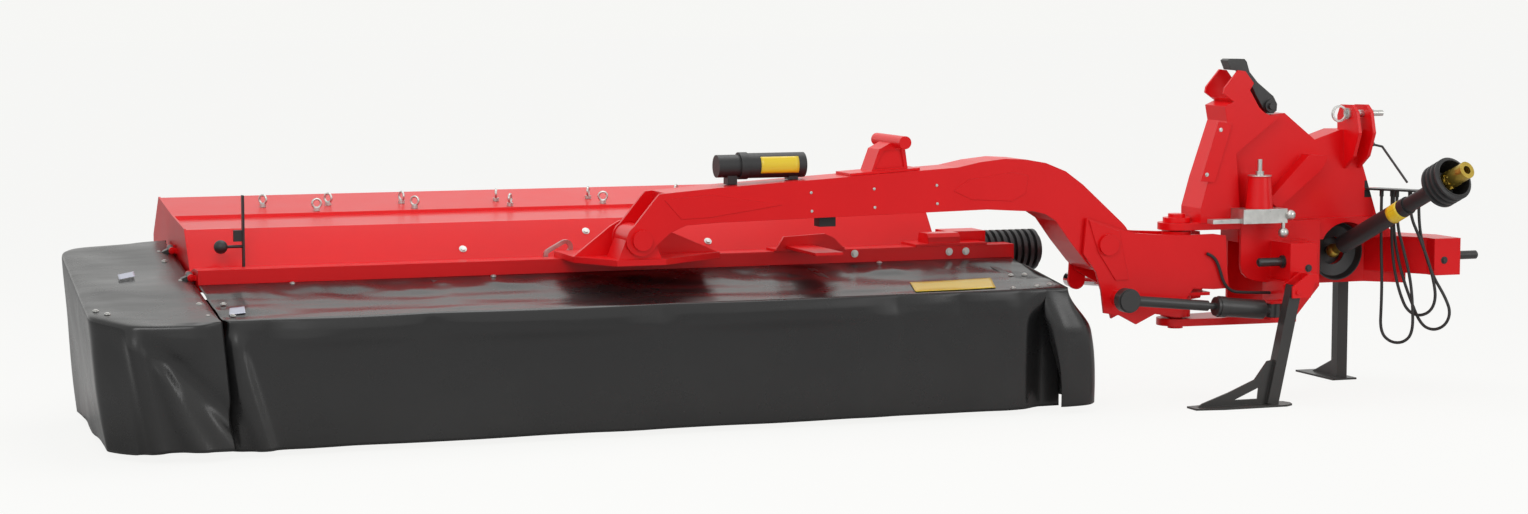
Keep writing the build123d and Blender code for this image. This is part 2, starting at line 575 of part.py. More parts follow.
with BuildPart() as pivot_bracket:
    base_top = PIVOT_Z - LOBE_RADIUS - 14
    inner_y = (ARM_Y + LOBE_PLATE + CLEAR, ARM_BACK - LOBE_PLATE - CLEAR)
    # boss and web between the arm's two lobes, on a foot that runs back over the cross beam
    pin_along_y(PIVOT_X, inner_y[0], PIVOT_Z, LOBE_RADIUS - 4, inner_y[1] - inner_y[0])
    front_plate([(PIVOT_X - 58, PIVOT_Z), (PIVOT_X + 58, PIVOT_Z), (PIVOT_X + 90, base_top - 4),
                 (PIVOT_X - 90, base_top - 4)], inner_y[0], inner_y[1] - inner_y[0])
    flat_plate([(1500, ARM_Y + 10), (1700, ARM_Y + 10), (1995, ARM_BACK + 20), (1995, BEAM_Y),
                (1385, BEAM_Y), (1385, ARM_BACK + 20)], base_top - 24, 24)
    # pyramid behind the arm
    front_plate([(1385, base_top - 2), (1995, base_top - 2), (PIVOT_X + 110, PIVOT_Z + 46),
                 (PIVOT_X - 20, PIVOT_Z + 62), (PIVOT_X - 60, PIVOT_Z + 40)], ARM_BACK + 24, 18)
    side_plate([(ARM_BACK + 30, base_top - 4), (ARM_BACK + 30, PIVOT_Z + 30),
                (BEAM_Y - 10, base_top - 4)], PIVOT_X - 40, PLATE)
    side_plate([(ARM_BACK + 30, base_top - 4), (ARM_BACK + 30, PIVOT_Z + 30),
                (BEAM_Y - 10, base_top - 4)], PIVOT_X + 70, PLATE)
    pin_along_y(PIVOT_X, inner_y[0], PIVOT_Z, PIVOT_PIN_RADIUS + RUNNING, 200, Mode.SUBTRACT)
    # strap that seats on top of the cross beam
    block((1385, 1995), (BEAM_Y, BEAM_Y + BEAM_DEPTH), (BEAM_Z + BEAM_HEIGHT + FIT, base_top))
pieces["pivot_bracket"] = pivot_bracket

with BuildPart() as pivot_pin:
    pin_along_y(PIVOT_X, ARM_Y - 14, PIVOT_Z, PIVOT_PIN_RADIUS, ARM_DEPTH + 20)
    pin_along_y(PIVOT_X, ARM_Y - 20, PIVOT_Z, 40, 20 - FIT)
pieces["pivot_pin"] = pivot_pin

with BuildPart() as stop_block:
    # rubber stop and its strap below the arm
    block((STOP_X - 40, STOP_X + 30), (ARM_Y + 70, ARM_BACK - 70), (770, 812.8 - FIT))
pieces["stop_block"] = stop_block

with BuildPart() as stop_bracket:
    stop_z = BEAM_Z + BEAM_HEIGHT + FIT
    front_plate([(STOP_X - 110, stop_z), (STOP_X + 200, stop_z), (STOP_X + 150, stop_z + 50),
                 (STOP_X + 110, stop_z + 68), (STOP_X - 70, stop_z + 60)], BEAM_Y - 6, 16)
    block((STOP_X - 60, STOP_X + 60), (ARM_Y + 60, BEAM_Y), (stop_z + 10, stop_z + 22))
    block((STOP_X - 110, STOP_X + 200), (BEAM_Y, BEAM_Y + BEAM_DEPTH), (stop_z, stop_z + 10))
pieces["stop_bracket"] = stop_bracket

with BuildPart() as mower_gearbox:
    seat_z = BEAM_Z + BEAM_HEIGHT + FIT
    block((2925, 3250), (BEAM_Y, BEAM_Y + BEAM_DEPTH + 60), (seat_z, seat_z + 10))
    block((2985, 3130), (BEAM_Y + 10, BEAM_Y + 120), (seat_z + 10, seat_z + 52))
    chamfer(mower_gearbox.edges().filter_by(Axis.X).sort_by(Axis.Z)[-2:], 16)
    # red input housing that stands out towards the hitch
    block((3120, 3290), (BEAM_Y + BEAM_DEPTH + 8, BEAM_Y + 250), (520, seat_z + 50))
pieces["mower_gearbox"] = mower_gearbox

with BuildPart() as drive_bellows:
    bellows_y, bellows_z = BEAM_Y + BEAM_DEPTH + 8 + 82, 600.0
    bellows_x = (3290 + FIT, FOLD_X - 40)
    rings = 9
    pitch = (bellows_x[1] - bellows_x[0]) / rings
    pin_along_x(bellows_x[0], bellows_y, bellows_z, 68, bellows_x[1] - bellows_x[0])
    for number in range(rings):
        pin_along_x(bellows_x[0] + number * pitch, bellows_y, bellows_z, 88, pitch * 0.5)
    pin_along_x(bellows_x[0], bellows_y, bellows_z, 60, bellows_x[1] - bellows_x[0], Mode.SUBTRACT)
pieces["drive_bellows"] = drive_bellows

with BuildPart() as rake_lever:
    # conditioner setting lever on the hood's front, outer end
    lever_y = BEAM_Y + BEAM_DEPTH + 64
    block((144, 152), (lever_y, lever_y + 28), (hood_line(lever_y + 28)[1] + FIT, 917))
    block((110, 144), (lever_y + 6, lever_y + 24), (737, 781))
    with Locations(at(60, lever_y + 15, 717)):
        Sphere(27)
    pin_along_x(60, lever_y + 15, 717, 6, 90)
pieces["rake_lever"] = rake_lever

with BuildPart() as blade_tool:
    tool_y = BEAM_Y + BEAM_DEPTH + 30
    tool_z = hood_line(tool_y + 2)[1] + 9 + FIT
    pin_along_x(800, tool_y, tool_z, 9, 560)
    with BuildSketch(facing_front(tool_y + 9)) as loop:
        with Locations((1410, tool_z + 39)):
            SlotOverall(130, 62, rotation=28)
            SlotOverall(96, 30, rotation=28, mode=Mode.SUBTRACT)
    extrude(loop.sketch, amount=18)
pieces["blade_tool"] = blade_tool

# ================================================================ swing frame on the kingpin
cheek_lower = [(3944, 352), (3826, 372), (3739, 332), (3664, 372), (3591, 384), (3578, 477),
               (3552, 557), (3494, 633)]
cheek_upper = [(3508, 780), (3667, 729), (3734, 712), (3845, 702), (3961, 696), (4100, 698),
               (4154, 690), (4161, 570)]
front_cheek = cheek_upper + [(4172, 468), (4100, 466), (4004, 472), (3965, 420)] + cheek_lower
rear_cheek = cheek_upper + [(4175, 460), (4160, 405), (4100, 398), (4010, 440), (3965, 420)]
rear_cheek = rear_cheek + cheek_lower[:3] + [(3700, 470), (3578, 540), (3494, 633)]
with BuildPart() as swing_frame:
    front_plate(front_cheek, CHEEK_FRONT_Y, PLATE)
    front_plate(rear_cheek, CHEEK_BACK_Y, PLATE)
    # raised boss plate round the fold pin
    front_plate([(3516, 772), (3655, 724), (3700, 520), (3640, 520), (3560, 640)],
                CHEEK_FRONT_Y - 6, 6)
    # boss behind the break-away cylinder's eye
    boss_y = BREAK_Y + BREAK_EYE_DEPTH / 2 + BREAK_EYE_GAP
    pin_along_y(BREAK_EYE_X, boss_y, BREAK_EYE_Z, 32, CHEEK_FRONT_Y - boss_y)
    # sleeve and webs between the cheeks, right of where the arm turns
    pin_along_z(KINGPIN_X, KINGPIN_Y, SLEEVE_BOTTOM, SLEEVE_RADIUS, SLEEVE_TOP - SLEEVE_BOTTOM)
    inner = (CHEEK_FRONT_Y + PLATE, CHEEK_BACK_Y)
    for web_z in (440.0, 670.0):
        block((3870, 4090), inner, (web_z, web_z + PLATE))
    block((3870, 3884), inner, (440, 684))
    pin_along_z(KINGPIN_X, KINGPIN_Y, SLEEVE_BOTTOM, KINGPIN_RADIUS + RUNNING,
                SLEEVE_TOP - SLEEVE_BOTTOM, Mode.SUBTRACT)
    pin_along_y(FOLD_X, CHEEK_FRONT_Y - 6, FOLD_Z, FOLD_PIN_RADIUS + RUNNING, 300, Mode.SUBTRACT)
pieces["swing_frame"] = swing_frame

with BuildPart() as lift_pin:
    # base pin of the lift cylinder, on its boss behind the rear cheek
    seat_y = CHEEK_BACK_Y + PLATE + FIT
    pin_along_y(LIFT_BASE_X, seat_y, LIFT_BASE_Z, LIFT_PIN_RADIUS, LIFT_Y + 30 - seat_y)
    pin_along_y(LIFT_BASE_X, seat_y, LIFT_BASE_Z, LIFT_PIN_RADIUS + 12, 6)
pieces["lift_pin"] = lift_pin

with BuildPart() as fold_pin:
    crank_y = CHEEK_BACK_Y + PLATE + CLEAR
    pin_along_y(FOLD_X, CHEEK_FRONT_Y - 8, FOLD_Z, FOLD_PIN_RADIUS, crank_y + PLATE - CHEEK_FRONT_Y + 8)
    pin_along_y(FOLD_X, CHEEK_FRONT_Y - 20, FOLD_Z, 44, 14 - FIT)
    # crank on the pin's rear end, which the lift cylinder turns
    front_plate([(FOLD_X - 48, FOLD_Z - 10), (FOLD_X + 48, FOLD_Z - 10),
                 (FOLD_X + LIFT_EYE_DX + 36, FOLD_Z + LIFT_EYE_DZ - 4),
                 (FOLD_X + LIFT_EYE_DX - 36, FOLD_Z + LIFT_EYE_DZ - 4)], crank_y, PLATE)
    pin_along_y(FOLD_X, crank_y, FOLD_Z, 50, PLATE)
    pin_along_y(FOLD_X + LIFT_EYE_DX, crank_y, FOLD_Z + LIFT_EYE_DZ, LIFT_EYE_RADIUS, PLATE)
pieces["fold_pin"] = fold_pin

with BuildPart() as inner_cardan:
    # guarded shaft between the bellows and the headstock's side, carried by the swing frame
    pin_along_x(FOLD_X + 150, bellows_y, bellows_z, 45, 250)
    block((3900, 3930), (CHEEK_BACK_Y + PLATE + FIT, bellows_y - 20), (600, 640))
pieces["inner_cardan"] = inner_cardan


lift_base = (LIFT_BASE_X, LIFT_Y, LIFT_BASE_Z)
lift_eye = (FOLD_X + LIFT_EYE_DX, LIFT_Y, FOLD_Z + LIFT_EYE_DZ)
lift_length, lift_dir = between(lift_base, lift_eye)
with BuildPart() as lift_barrel:
    pin_along_y(LIFT_BASE_X, LIFT_Y - 20, LIFT_BASE_Z, LIFT_EYE_RADIUS, 40)
    bar(lift_base, lift_dir, 20, LIFT_BARREL_LENGTH, LIFT_BARREL_RADIUS)
    bar(lift_base, lift_dir, 60, LIFT_BARREL_LENGTH - 40, LIFT_ROD_RADIUS + FIT, Mode.SUBTRACT)
    pin_along_y(LIFT_BASE_X, LIFT_Y - 45, LIFT_BASE_Z, LIFT_PIN_RADIUS + RUNNING, 90, Mode.SUBTRACT)
pieces["lift_barrel"] = lift_barrel

with BuildPart() as lift_rod:
    bar(lift_base, lift_dir, 80, lift_length - 80, LIFT_ROD_RADIUS)
    pin_along_y(lift_eye[0], LIFT_Y - 20, lift_eye[2], LIFT_EYE_RADIUS - 6, 40)
    pin_along_y(lift_eye[0], LIFT_Y - 20, lift_eye[2], LIFT_PIN_RADIUS, 40, Mode.SUBTRACT)
pieces["lift_rod"] = lift_rod

break_base = (BREAK_BASE_X, BREAK_Y, BREAK_BASE_Z)
break_eye = (BREAK_EYE_X, BREAK_Y, BREAK_EYE_Z)
break_length, break_dir = between(break_base, break_eye)
with BuildPart() as break_barrel:
    pin_along_z(BREAK_BASE_X, BREAK_Y, BREAK_BASE_Z - 28, 32, 56)
    bar(break_base, break_dir, 14, 60, 22)
    bar(break_base, break_dir, 52, BREAK_BARREL_LENGTH - 38, BREAK_BARREL_RADIUS)
    bar(break_base, break_dir, 232, 30, BREAK_BARREL_RADIUS + 4)
    bar(break_base, break_dir, 60, BREAK_BARREL_LENGTH - 40, BREAK_ROD_RADIUS + FIT, Mode.SUBTRACT)
    pin_along_z(BREAK_BASE_X, BREAK_Y, BREAK_BASE_Z - 60, 12 + RUNNING, 120, Mode.SUBTRACT)
pieces["break_barrel"] = break_barrel

with BuildPart() as break_rod:
    sleeve_start = BREAK_BARREL_LENGTH + 14 + 36
    bar(break_base, break_dir, 80, break_length - 80, BREAK_ROD_RADIUS)
    bar(break_base, break_dir, sleeve_start, break_length - sleeve_start, BREAK_SLEEVE_RADIUS)
    pin_along_y(BREAK_EYE_X, BREAK_Y - BREAK_EYE_DEPTH / 2, BREAK_EYE_Z, BREAK_EYE_RADIUS - 6,
                BREAK_EYE_DEPTH)
    pin_along_y(BREAK_EYE_X, BREAK_Y - 22, BREAK_EYE_Z, BREAK_EYE_RADIUS, 44)
pieces["break_rod"] = break_rod

# ================================================================ headstock
# The tractor's hoses hang in loops from a holder beside the mast. Each loop lies in an upright
# plane: along is the distance from the holder's near end, and aside the plane's own shift.
HOSE_RADIUS = 6.5
HOSE_EXIT_Z = 835.0
HOSE_START = Vector(4908, 150)
HOSE_ALONG = Vector(0.5145, -0.8575)
HOSE_ASIDE = Vector(0.8575, 0.5145)
hose_loops = {   # aside, then the route as (along, height)
    "hose_a": (0, [(0, HOSE_EXIT_Z), (0, 724), (3, 609), (9, 492), (9, 374), (5, 256), (50, 212),
                   (113, 212), (158, 256), (156, 374), (142, 491), (110, 606), (72, 722),
                   (72, HOSE_EXIT_Z)]),
    "hose_b": (22, [(38, HOSE_EXIT_Z), (38, 730), (42, 618), (58, 508), (84, 420), (118, 350),
                    (174, 329), (229, 354), (251, 410), (240, 482), (212, 570), (168, 670),
                    (122, 762), (122, HOSE_EXIT_Z)]),
    "hose_c": (44, [(34, HOSE_EXIT_Z), (34, 725), (50, 612), (80, 500), (122, 396), (172, 292),
                    (231, 270), (288, 297), (310, 356), (279, 424), (226, 500), (184, 600),
                    (152, 722), (152, HOSE_EXIT_Z)]),
}


def hose_point(along, aside, height):
    place = HOSE_START + HOSE_ALONG * along + HOSE_ASIDE * aside
    return at(place.X, place.Y, height)


beam_foot_z = 455.0
beam_plan = [(LEFT_SHOULDER, 0), (LEFT_SHOULDER + BRACKET_WIDTH, 0),
             (LEFT_SHOULDER + BRACKET_WIDTH, 60), (4610, BEAM_FACE_Y), (4925, BEAM_FACE_Y),
             (RIGHT_SHOULDER - BRACKET_WIDTH, 60), (RIGHT_SHOULDER - BRACKET_WIDTH, 0),
             (RIGHT_SHOULDER, 0), (RIGHT_SHOULDER, 190), (5040, 440), (4500, 440),
             (LEFT_SHOULDER, 280)]
mast_tower = [(4050, 742), (4050, 804), (4086, 928), (4169, 1167), (4157, 1229), (4200, 1248),
              (4151, 1282), (4156, 1306), (4219, 1379), (4252, 1375), (4293, 1324), (4346, 1282),
              (HOOK_X - 12, HOOK_Z + 28), (HOOK_X + 16, HOOK_Z + 22), (HOOK_X + 28, HOOK_Z - 6),
              (4414, 1178), (4215, 1030), (4240, 742)]
mast_web = [(4200, 742), (4200, 1000), (4400, 1190), (4465, 1195), (4612, 1080), (4735, 1120),
            (4855, 1120), (4846, 976), (4872, 900), (4925, 742)]
with BuildPart() as headstock_frame:
    # hitch beam, open in plan round the drive shaft
    flat_plate(beam_plan, BRACKET_Z, BRACKET_HEIGHT)
    flat_plate([(4440, 230), (4610, BEAM_FACE_Y), (4925, BEAM_FACE_Y), (5060, 190), (5040, 440),
                (4500, 440)], beam_foot_z, 60)
    # mast: tower, web and the diagonal brace that stiffens it
    front_plate(mast_tower, MAST_Y, MAST_DEPTH)
    # slot for the transport hook, and the front plate's recess that shows its foot
    front_plate([(4140, 1262), (4140, 1330), (4240, 1440), (4470, 1300), (4470, 1180),
                 (4350, 1170), (4262, 1262)], MAST_Y + 12, MAST_DEPTH - 24, Mode.SUBTRACT)
    front_plate([(4293, 1324), (4275, 1295), (4320, 1222), (4348, 1198), (4380, 1186),
                 (4470, 1186), (4470, 1290), (4340, 1330)], MAST_Y, 20, Mode.SUBTRACT)
    front_plate(mast_web, MAST_Y + 40, MAST_DEPTH - 40)
    front_plate([(4365, 836), (4554, 1021), (4646, 1012), (4617, 958), (4420, 804), (4395, 804)],
                MAST_Y - 20, 62)
    # bolted strip along the tower's left edge
    front_plate([(4120, 1166), (4185, 1158), (4106, 913), (4040, 919)], MAST_Y - 16, 18)
    front_plate([(4240, 655), (4240, 745), (4925, 745), (5010, 655)], MAST_Y + 20, MAST_DEPTH - 20)
    for ear_x in (HITCH_X - TOP_GAP / 2 - EAR, HITCH_X + TOP_GAP / 2):
        side_plate([(MAST_Y + 90, 1030), (265, 1180), (240, TOP_PIN_Z + 36), (150, TOP_PIN_Z + 38),
                    (112, TOP_PIN_Z + 10), (88, 1110), (130, 1010), (MAST_Y + 60, 940)], ear_x, EAR)
    # kingpin lugs and the side plates that carry them
    for lug_z in (SLEEVE_TOP + CLEAR, SLEEVE_BOTTOM - CLEAR - LUG_THICK):
        with BuildSketch(facing_up(lug_z)) as lug:
            with Locations((KINGPIN_X, KINGPIN_Y)):
                Circle(LUG_RADIUS)
            with Locations((4400, 282)):
                Rectangle(180, 235)
            make_hull()
        extrude(lug.sketch, amount=LUG_THICK)
    front_plate([(4240, 740), (4240, 557), (4250, 525), (4272, 505), (4307, 492), (4441, 471),
                 (4620, 460), (4620, 742)], 165, 15)
    front_plate([(4300, 312), (4300, 740), (4620, 742), (4620, 460), (4490, 312)], 385, 15)
    front_plate([(4380, 312), (4380, 480), (4620, 480), (4620, 460), (4490, 312)], 165, 15)
    # hose holder: a plate off the web's edge with a socket over each hose end
    flat_plate([(4860, 240), (4860, 205), (4886, 160), (4981, 1), (5043, 38), (4950, 205),
                (4920, 240)], HOSE_EXIT_Z + 25, 8)
    for aside, route in hose_loops.values():
        for along in (route[0][0], route[-1][0]):
            with Locations(hose_point(along, aside, HOSE_EXIT_Z + 13)):
                Cylinder(HOSE_RADIUS + 2.5, 26)
    # bores: kingpin, top link pin, lower pins, hook pin
    pin_along_z(KINGPIN_X, KINGPIN_Y, 280, KINGPIN_RADIUS + RUNNING, 500, Mode.SUBTRACT)
    pin_along_x(HITCH_X - 60, TOP_PIN_Y, TOP_PIN_Z, TOP_PIN_RADIUS + RUNNING, 120, Mode.SUBTRACT)
    pin_along_y(HOOK_X, MAST_Y + 20, HOOK_Z, HOOK_PIN_RADIUS + RUNNING, MAST_DEPTH, Mode.SUBTRACT)
    for seat_x in (LEFT_SHOULDER, RIGHT_SHOULDER - LINK_SHANK_LENGTH):
        pin_along_x(seat_x, LINK_PIN_Y, LINK_PIN_Z, LINK_SHANK_RADIUS + RUNNING, LINK_SHANK_LENGTH,
                    Mode.SUBTRACT)
    # arch over the input cone, the input's bore, and the break-away cylinder's clevis
    pin_along_y(INPUT_X, 0, INPUT_Z, INPUT_CONE_RADIUS + CLEAR, BEAM_FACE_Y, Mode.SUBTRACT)
    pin_along_y(INPUT_X, 290, INPUT_Z, INPUT_BORE, 200, Mode.SUBTRACT)
    block((BREAK_BASE_X + 36, LEFT_SHOULDER + 40), (BREAK_Y - 30, 200), (330, BRACKET_Z))
    for lug_z in (BREAK_BASE_Z - 28 - 1 - 12, BREAK_BASE_Z + 29):
        block((BREAK_BASE_X - 26, BREAK_BASE_X + 60), (BREAK_Y - 30, BREAK_Y + 30),
              (lug_z, lug_z + 12))
    pin_along_z(BREAK_BASE_X, BREAK_Y, BREAK_BASE_Z - 41, 12, 82)
    # lugs of the left stand and socket of the right one
    for lug_y in (LEFT_STAND_Y - STAND_SIDE / 2 - CLEAR - 10, LEFT_STAND_Y + STAND_SIDE / 2 + CLEAR):
        front_plate([(LEFT_STAND_PIVOT_X - 24, LEFT_STAND_PIVOT_Z - 24),
                     (LEFT_STAND_PIVOT_X + 60, LEFT_STAND_PIVOT_Z - 24),
                     (LEFT_STAND_PIVOT_X + 90, BRACKET_Z + 40),
                     (LEFT_STAND_PIVOT_X + 50, BRACKET_Z + 40),
                     (LEFT_STAND_PIVOT_X - 24, LEFT_STAND_PIVOT_Z + 24)], lug_y, 10)
    block((LEFT_SHOULDER + 20, LEFT_SHOULDER + 60), (LEFT_STAND_Y - STAND_SIDE / 2 - CLEAR - 10, 4),
          (BRACKET_Z + 5, BRACKET_Z + 40))
    pin_along_y(LEFT_STAND_PIVOT_X, LEFT_STAND_Y - 50, LEFT_STAND_PIVOT_Z, STAND_PIN_RADIUS, 100)
pieces["headstock_frame"] = headstock_frame

with BuildPart() as stand_socket:
    half = STAND_SIDE / 2 + FIT
    socket_y = (RIGHT_STAND_Y - half - 6, RIGHT_STAND_Y + half + 6)
    block((RIGHT_STAND_X - half - 6, RIGHT_STAND_X + half + 6), (440 + FIT, socket_y[1]), (480, 640))
    block((RIGHT_STAND_X - half, RIGHT_STAND_X + half),
          (RIGHT_STAND_Y - half, RIGHT_STAND_Y + half), (470, 650), Mode.SUBTRACT)
pieces["stand_socket"] = stand_socket

with BuildPart() as kingpin:
    king_bottom = SLEEVE_BOTTOM - CLEAR - LUG_THICK - 14
    king_top = SLEEVE_TOP + CLEAR + LUG_THICK + FIT
    pin_along_z(KINGPIN_X, KINGPIN_Y, king_bottom, KINGPIN_RADIUS, king_top - king_bottom + 30)
    pin_along_z(KINGPIN_X, KINGPIN_Y, king_top, 58, 20)
    pin_along_z(KINGPIN_X, KINGPIN_Y, king_top + 20, 36, 16)
pieces["kingpin"] = kingpin

for side, shoulder, outward in (("left", LEFT_SHOULDER, -1), ("right", RIGHT_SHOULDER, 1)):
    with BuildPart() as link_pin:
        # shank in the bracket, collar against its side, then the pin for the lower link's ball
        for inner, outer, radius in ((-LINK_SHANK_LENGTH + FIT, 0, LINK_SHANK_RADIUS),
                                     (0, LINK_COLLAR, LINK_COLLAR_RADIUS),
                                     (LINK_COLLAR, LINK_PIN_LENGTH, LINK_PIN_RADIUS)):
            ends = sorted((shoulder + outward * inner, shoulder + outward * outer))
            pin_along_x(ends[0], LINK_PIN_Y, LINK_PIN_Z, radius, outer - inner)
        tips = link_pin.edges().filter_by(GeomType.CIRCLE).sort_by(Axis.X)
        chamfer(tips[0] if outward < 0 else tips[-1], 5)
    pieces[f"lower_link_pin_{side}"] = link_pin

with BuildPart() as top_link_pin:
    pin_along_x(HITCH_X - 52, TOP_PIN_Y, TOP_PIN_Z, TOP_PIN_RADIUS, 130)
    pin_along_x(HITCH_X + 78, TOP_PIN_Y, TOP_PIN_Z, TOP_PIN_END_RADIUS, 45)
    # stop flange and ring handle on the pin's inner end
    pin_along_x(HITCH_X - TOP_GAP / 2 - EAR - 9, TOP_PIN_Y, TOP_PIN_Z, 24, 9 - FIT)
    with BuildSketch(facing_front(TOP_PIN_Y + 5)) as ring:
        with Locations((HITCH_X - 86, TOP_PIN_Z)):
            Circle(36)
            Circle(27, mode=Mode.SUBTRACT)
    extrude(ring.sketch, amount=10)
pieces["top_link_pin"] = top_link_pin

with BuildPart() as input_cone:
    with BuildSketch(Plane(origin=at(INPUT_X, 0, INPUT_Z), x_dir=(1, 0, 0), z_dir=(0, 0, 1))) as wall:
        with BuildLine():
            Polyline((INPUT_BORE - 4, BEAM_FACE_Y - FIT), (INPUT_BORE + 12, BEAM_FACE_Y - FIT),
                     (INPUT_CONE_RADIUS - 12, BEAM_FACE_Y - 12),
                     (INPUT_CONE_RADIUS, BEAM_FACE_Y - 44), (INPUT_CONE_RADIUS - 5, BEAM_FACE_Y - 44),
                     (INPUT_CONE_RADIUS - 17, BEAM_FACE_Y - 16), (INPUT_BORE - 4, BEAM_FACE_Y - 5),
                     close=True)
        make_face()
    revolve(wall.sketch, axis=Axis(at(INPUT_X, 0, INPUT_Z), (0, 1, 0)))
pieces["input_cone"] = input_cone

with BuildPart() as headstock_gearbox:
    block((4640, 4890), (440 + FIT, 690), (490, 700))
    fillet(headstock_gearbox.edges().filter_by(Axis.X), 24)
    pin_along_y(INPUT_X, 345, INPUT_Z, INPUT_BORE - FIT, 100)
    pin_along_y(INPUT_X, INPUT_Y + JOINT_BALL + FIT, INPUT_Z, SPLINE_RADIUS, 40)
    # output shaft guard towards the swing frame
    pin_along_x(4230, 600, 600, 45, 415)
pieces["headstock_gearbox"] = headstock_gearbox

with BuildPart() as spring_pot:
    pot_y, pot_z = 112.0, SLEEVE_TOP + CLEAR + LUG_THICK + 60 + 2 * FIT
    pot_x = 4294.0
    with Locations(at(pot_x, pot_y, pot_z + 66)):
        Cone(58, 47, 132)
    pin_along_z(pot_x, pot_y, pot_z + 132, 50, 8)
    pin_along_z(pot_x, pot_y, pot_z + 140, 10, 66)
    pin_along_z(pot_x, pot_y, pot_z + 140, 18, 16)
pieces["spring_pot"] = spring_pot

with BuildPart() as latch_block:
    latch_z = SLEEVE_TOP + CLEAR + LUG_THICK + FIT
    block((4192, 4400), (60, MAST_Y - FIT), (latch_z, latch_z + 60))
    block((4060, 4192), (80, 130), (latch_z + 2, latch_z + 20))
    for knob_x, knob_z in ((4412, latch_z + 34), (4380, latch_z - 40)):
        with Locations(at(knob_x, 58, knob_z)):
            Sphere(22)
    block((4374, 4386), (56, 68), (latch_z - 30, latch_z + 4))
pieces["latch_block"] = latch_block

with BuildPart() as shaft_hook:
    hook_route = [(HITCH_X + 48, 128, 1060), (HITCH_X + 90, 116, 1050), (4925, -20, 905)]
    ear_side = HITCH_X + TOP_GAP / 2 + EAR
    pin_along_x(ear_side + FIT, 128, 1060, 9, 14)
    for start, end in zip(hook_route, hook_route[1:]):
        length, direction = between(start, end)
        bar(start, direction, 0, length, 5)
    with Locations(at(*hook_route[1])):
        Sphere(5)
pieces["shaft_hook"] = shaft_hook

with BuildPart() as transport_hook:
    hook_outline = [(-205, 193), (-194, 200), (-123, 199), (-112, 187), (-98, 144), (-59, 100),
                    (17, 41), (36, 8), (34, -20), (18, -32), (-10, -32), (-32, -7), (-69, 52),
                    (-77, 71), (-133, 149), (-188, 154)]
    front_plate([(HOOK_X + x, HOOK_Z + z) for x, z in hook_outline], MAST_Y + 40, 60)
    pin_along_y(HOOK_X, MAST_Y + 14, HOOK_Z, HOOK_PIN_RADIUS, MAST_DEPTH)
    pin_along_y(HOOK_X, MAST_Y + 26, HOOK_Z, 26, 14)
pieces["transport_hook"] = transport_hook

# ================================================================ stands
with BuildPart() as stand_left:
    left_top = (LEFT_STAND_PIVOT_X, LEFT_STAND_Y, LEFT_STAND_PIVOT_Z)
    left_foot = (LEFT_STAND_FOOT_X, LEFT_STAND_Y, FOOT_THICK - 2)
    left_length, left_dir = between(left_top, left_foot)
    leg_face = Plane(origin=at(*left_top), x_dir=(0, 1, 0), z_dir=left_dir).offset(-26)
    with BuildSketch(leg_face) as leg:
        Rectangle(STAND_SIDE, STAND_SIDE)
    extrude(leg.sketch, amount=left_length + 26)
    foot_y = (LEFT_STAND_Y - 62, LEFT_STAND_Y + 62)
    flat_plate([(3880, foot_y[0] + 22), (3880, foot_y[1] - 22), (4000, foot_y[1]),
                (4290, foot_y[1]), (4328, foot_y[1] - 24), (4340, LEFT_STAND_Y),
                (4328, foot_y[0] + 24), (4290, foot_y[0]), (4000, foot_y[0])], 0, FOOT_THICK)
    front_plate([(3905, FOOT_THICK - 1), (4230, FOOT_THICK - 1), (4262, 190), (4228, 185),
                 (4170, 110), (4050, 62), (3930, 22)], LEFT_STAND_Y - 5, 10)
    front_plate([(4075, 30), (4185, 30), (4190, 78)], LEFT_STAND_Y - 6, 12, Mode.SUBTRACT)
    pin_along_y(LEFT_STAND_PIVOT_X, LEFT_STAND_Y - 40, LEFT_STAND_PIVOT_Z,
                STAND_PIN_RADIUS + RUNNING, 80, Mode.SUBTRACT)
pieces["stand_left"] = stand_left

with BuildPart() as stand_right:
    leg_half = STAND_SIDE / 2
    block((RIGHT_STAND_X - leg_half, RIGHT_STAND_X + leg_half),
          (RIGHT_STAND_Y - leg_half, RIGHT_STAND_Y + leg_half), (FOOT_THICK - 2, 700))
    block((RIGHT_STAND_X - leg_half + STAND_WALL, RIGHT_STAND_X + leg_half - STAND_WALL),
          (RIGHT_STAND_Y - leg_half + STAND_WALL, RIGHT_STAND_Y + leg_half - STAND_WALL),
          (FOOT_THICK, 701), Mode.SUBTRACT)
    block((RIGHT_STAND_X - 60, RIGHT_STAND_X + 60), (RIGHT_STAND_Y - 50, RIGHT_STAND_Y + 270),
          (0, FOOT_THICK))
    side_plate([(RIGHT_STAND_Y + 24, FOOT_THICK - 1), (RIGHT_STAND_Y + 220, FOOT_THICK - 1),
                (RIGHT_STAND_Y + 24, 90)], RIGHT_STAND_X - 5, 10)
pieces["stand_right"] = stand_right

# ================================================================ drive shaft
shaft_foot = (INPUT_X, INPUT_Y, INPUT_Z)
shaft_side = Vector(*SHAFT_DIR).cross(Vector(0, 0, 1)).normalized()
shaft_up = Vector(*SHAFT_DIR).cross(shaft_side)


def turned_on_shaft(begin, profile):
    """Revolve (along, radius) points about the drive shaft's axis, counted from begin."""
    foot = at(*[shaft_foot[i] + SHAFT_DIR[i] * begin for i in range(3)])
    with BuildSketch(Plane(origin=foot, x_dir=SHAFT_DIR, z_dir=shaft_up)) as outline:
        with BuildLine():
            Polyline(*profile, close=True)
        make_face()
    revolve(outline.sketch, axis=Axis(foot, SHAFT_DIR))


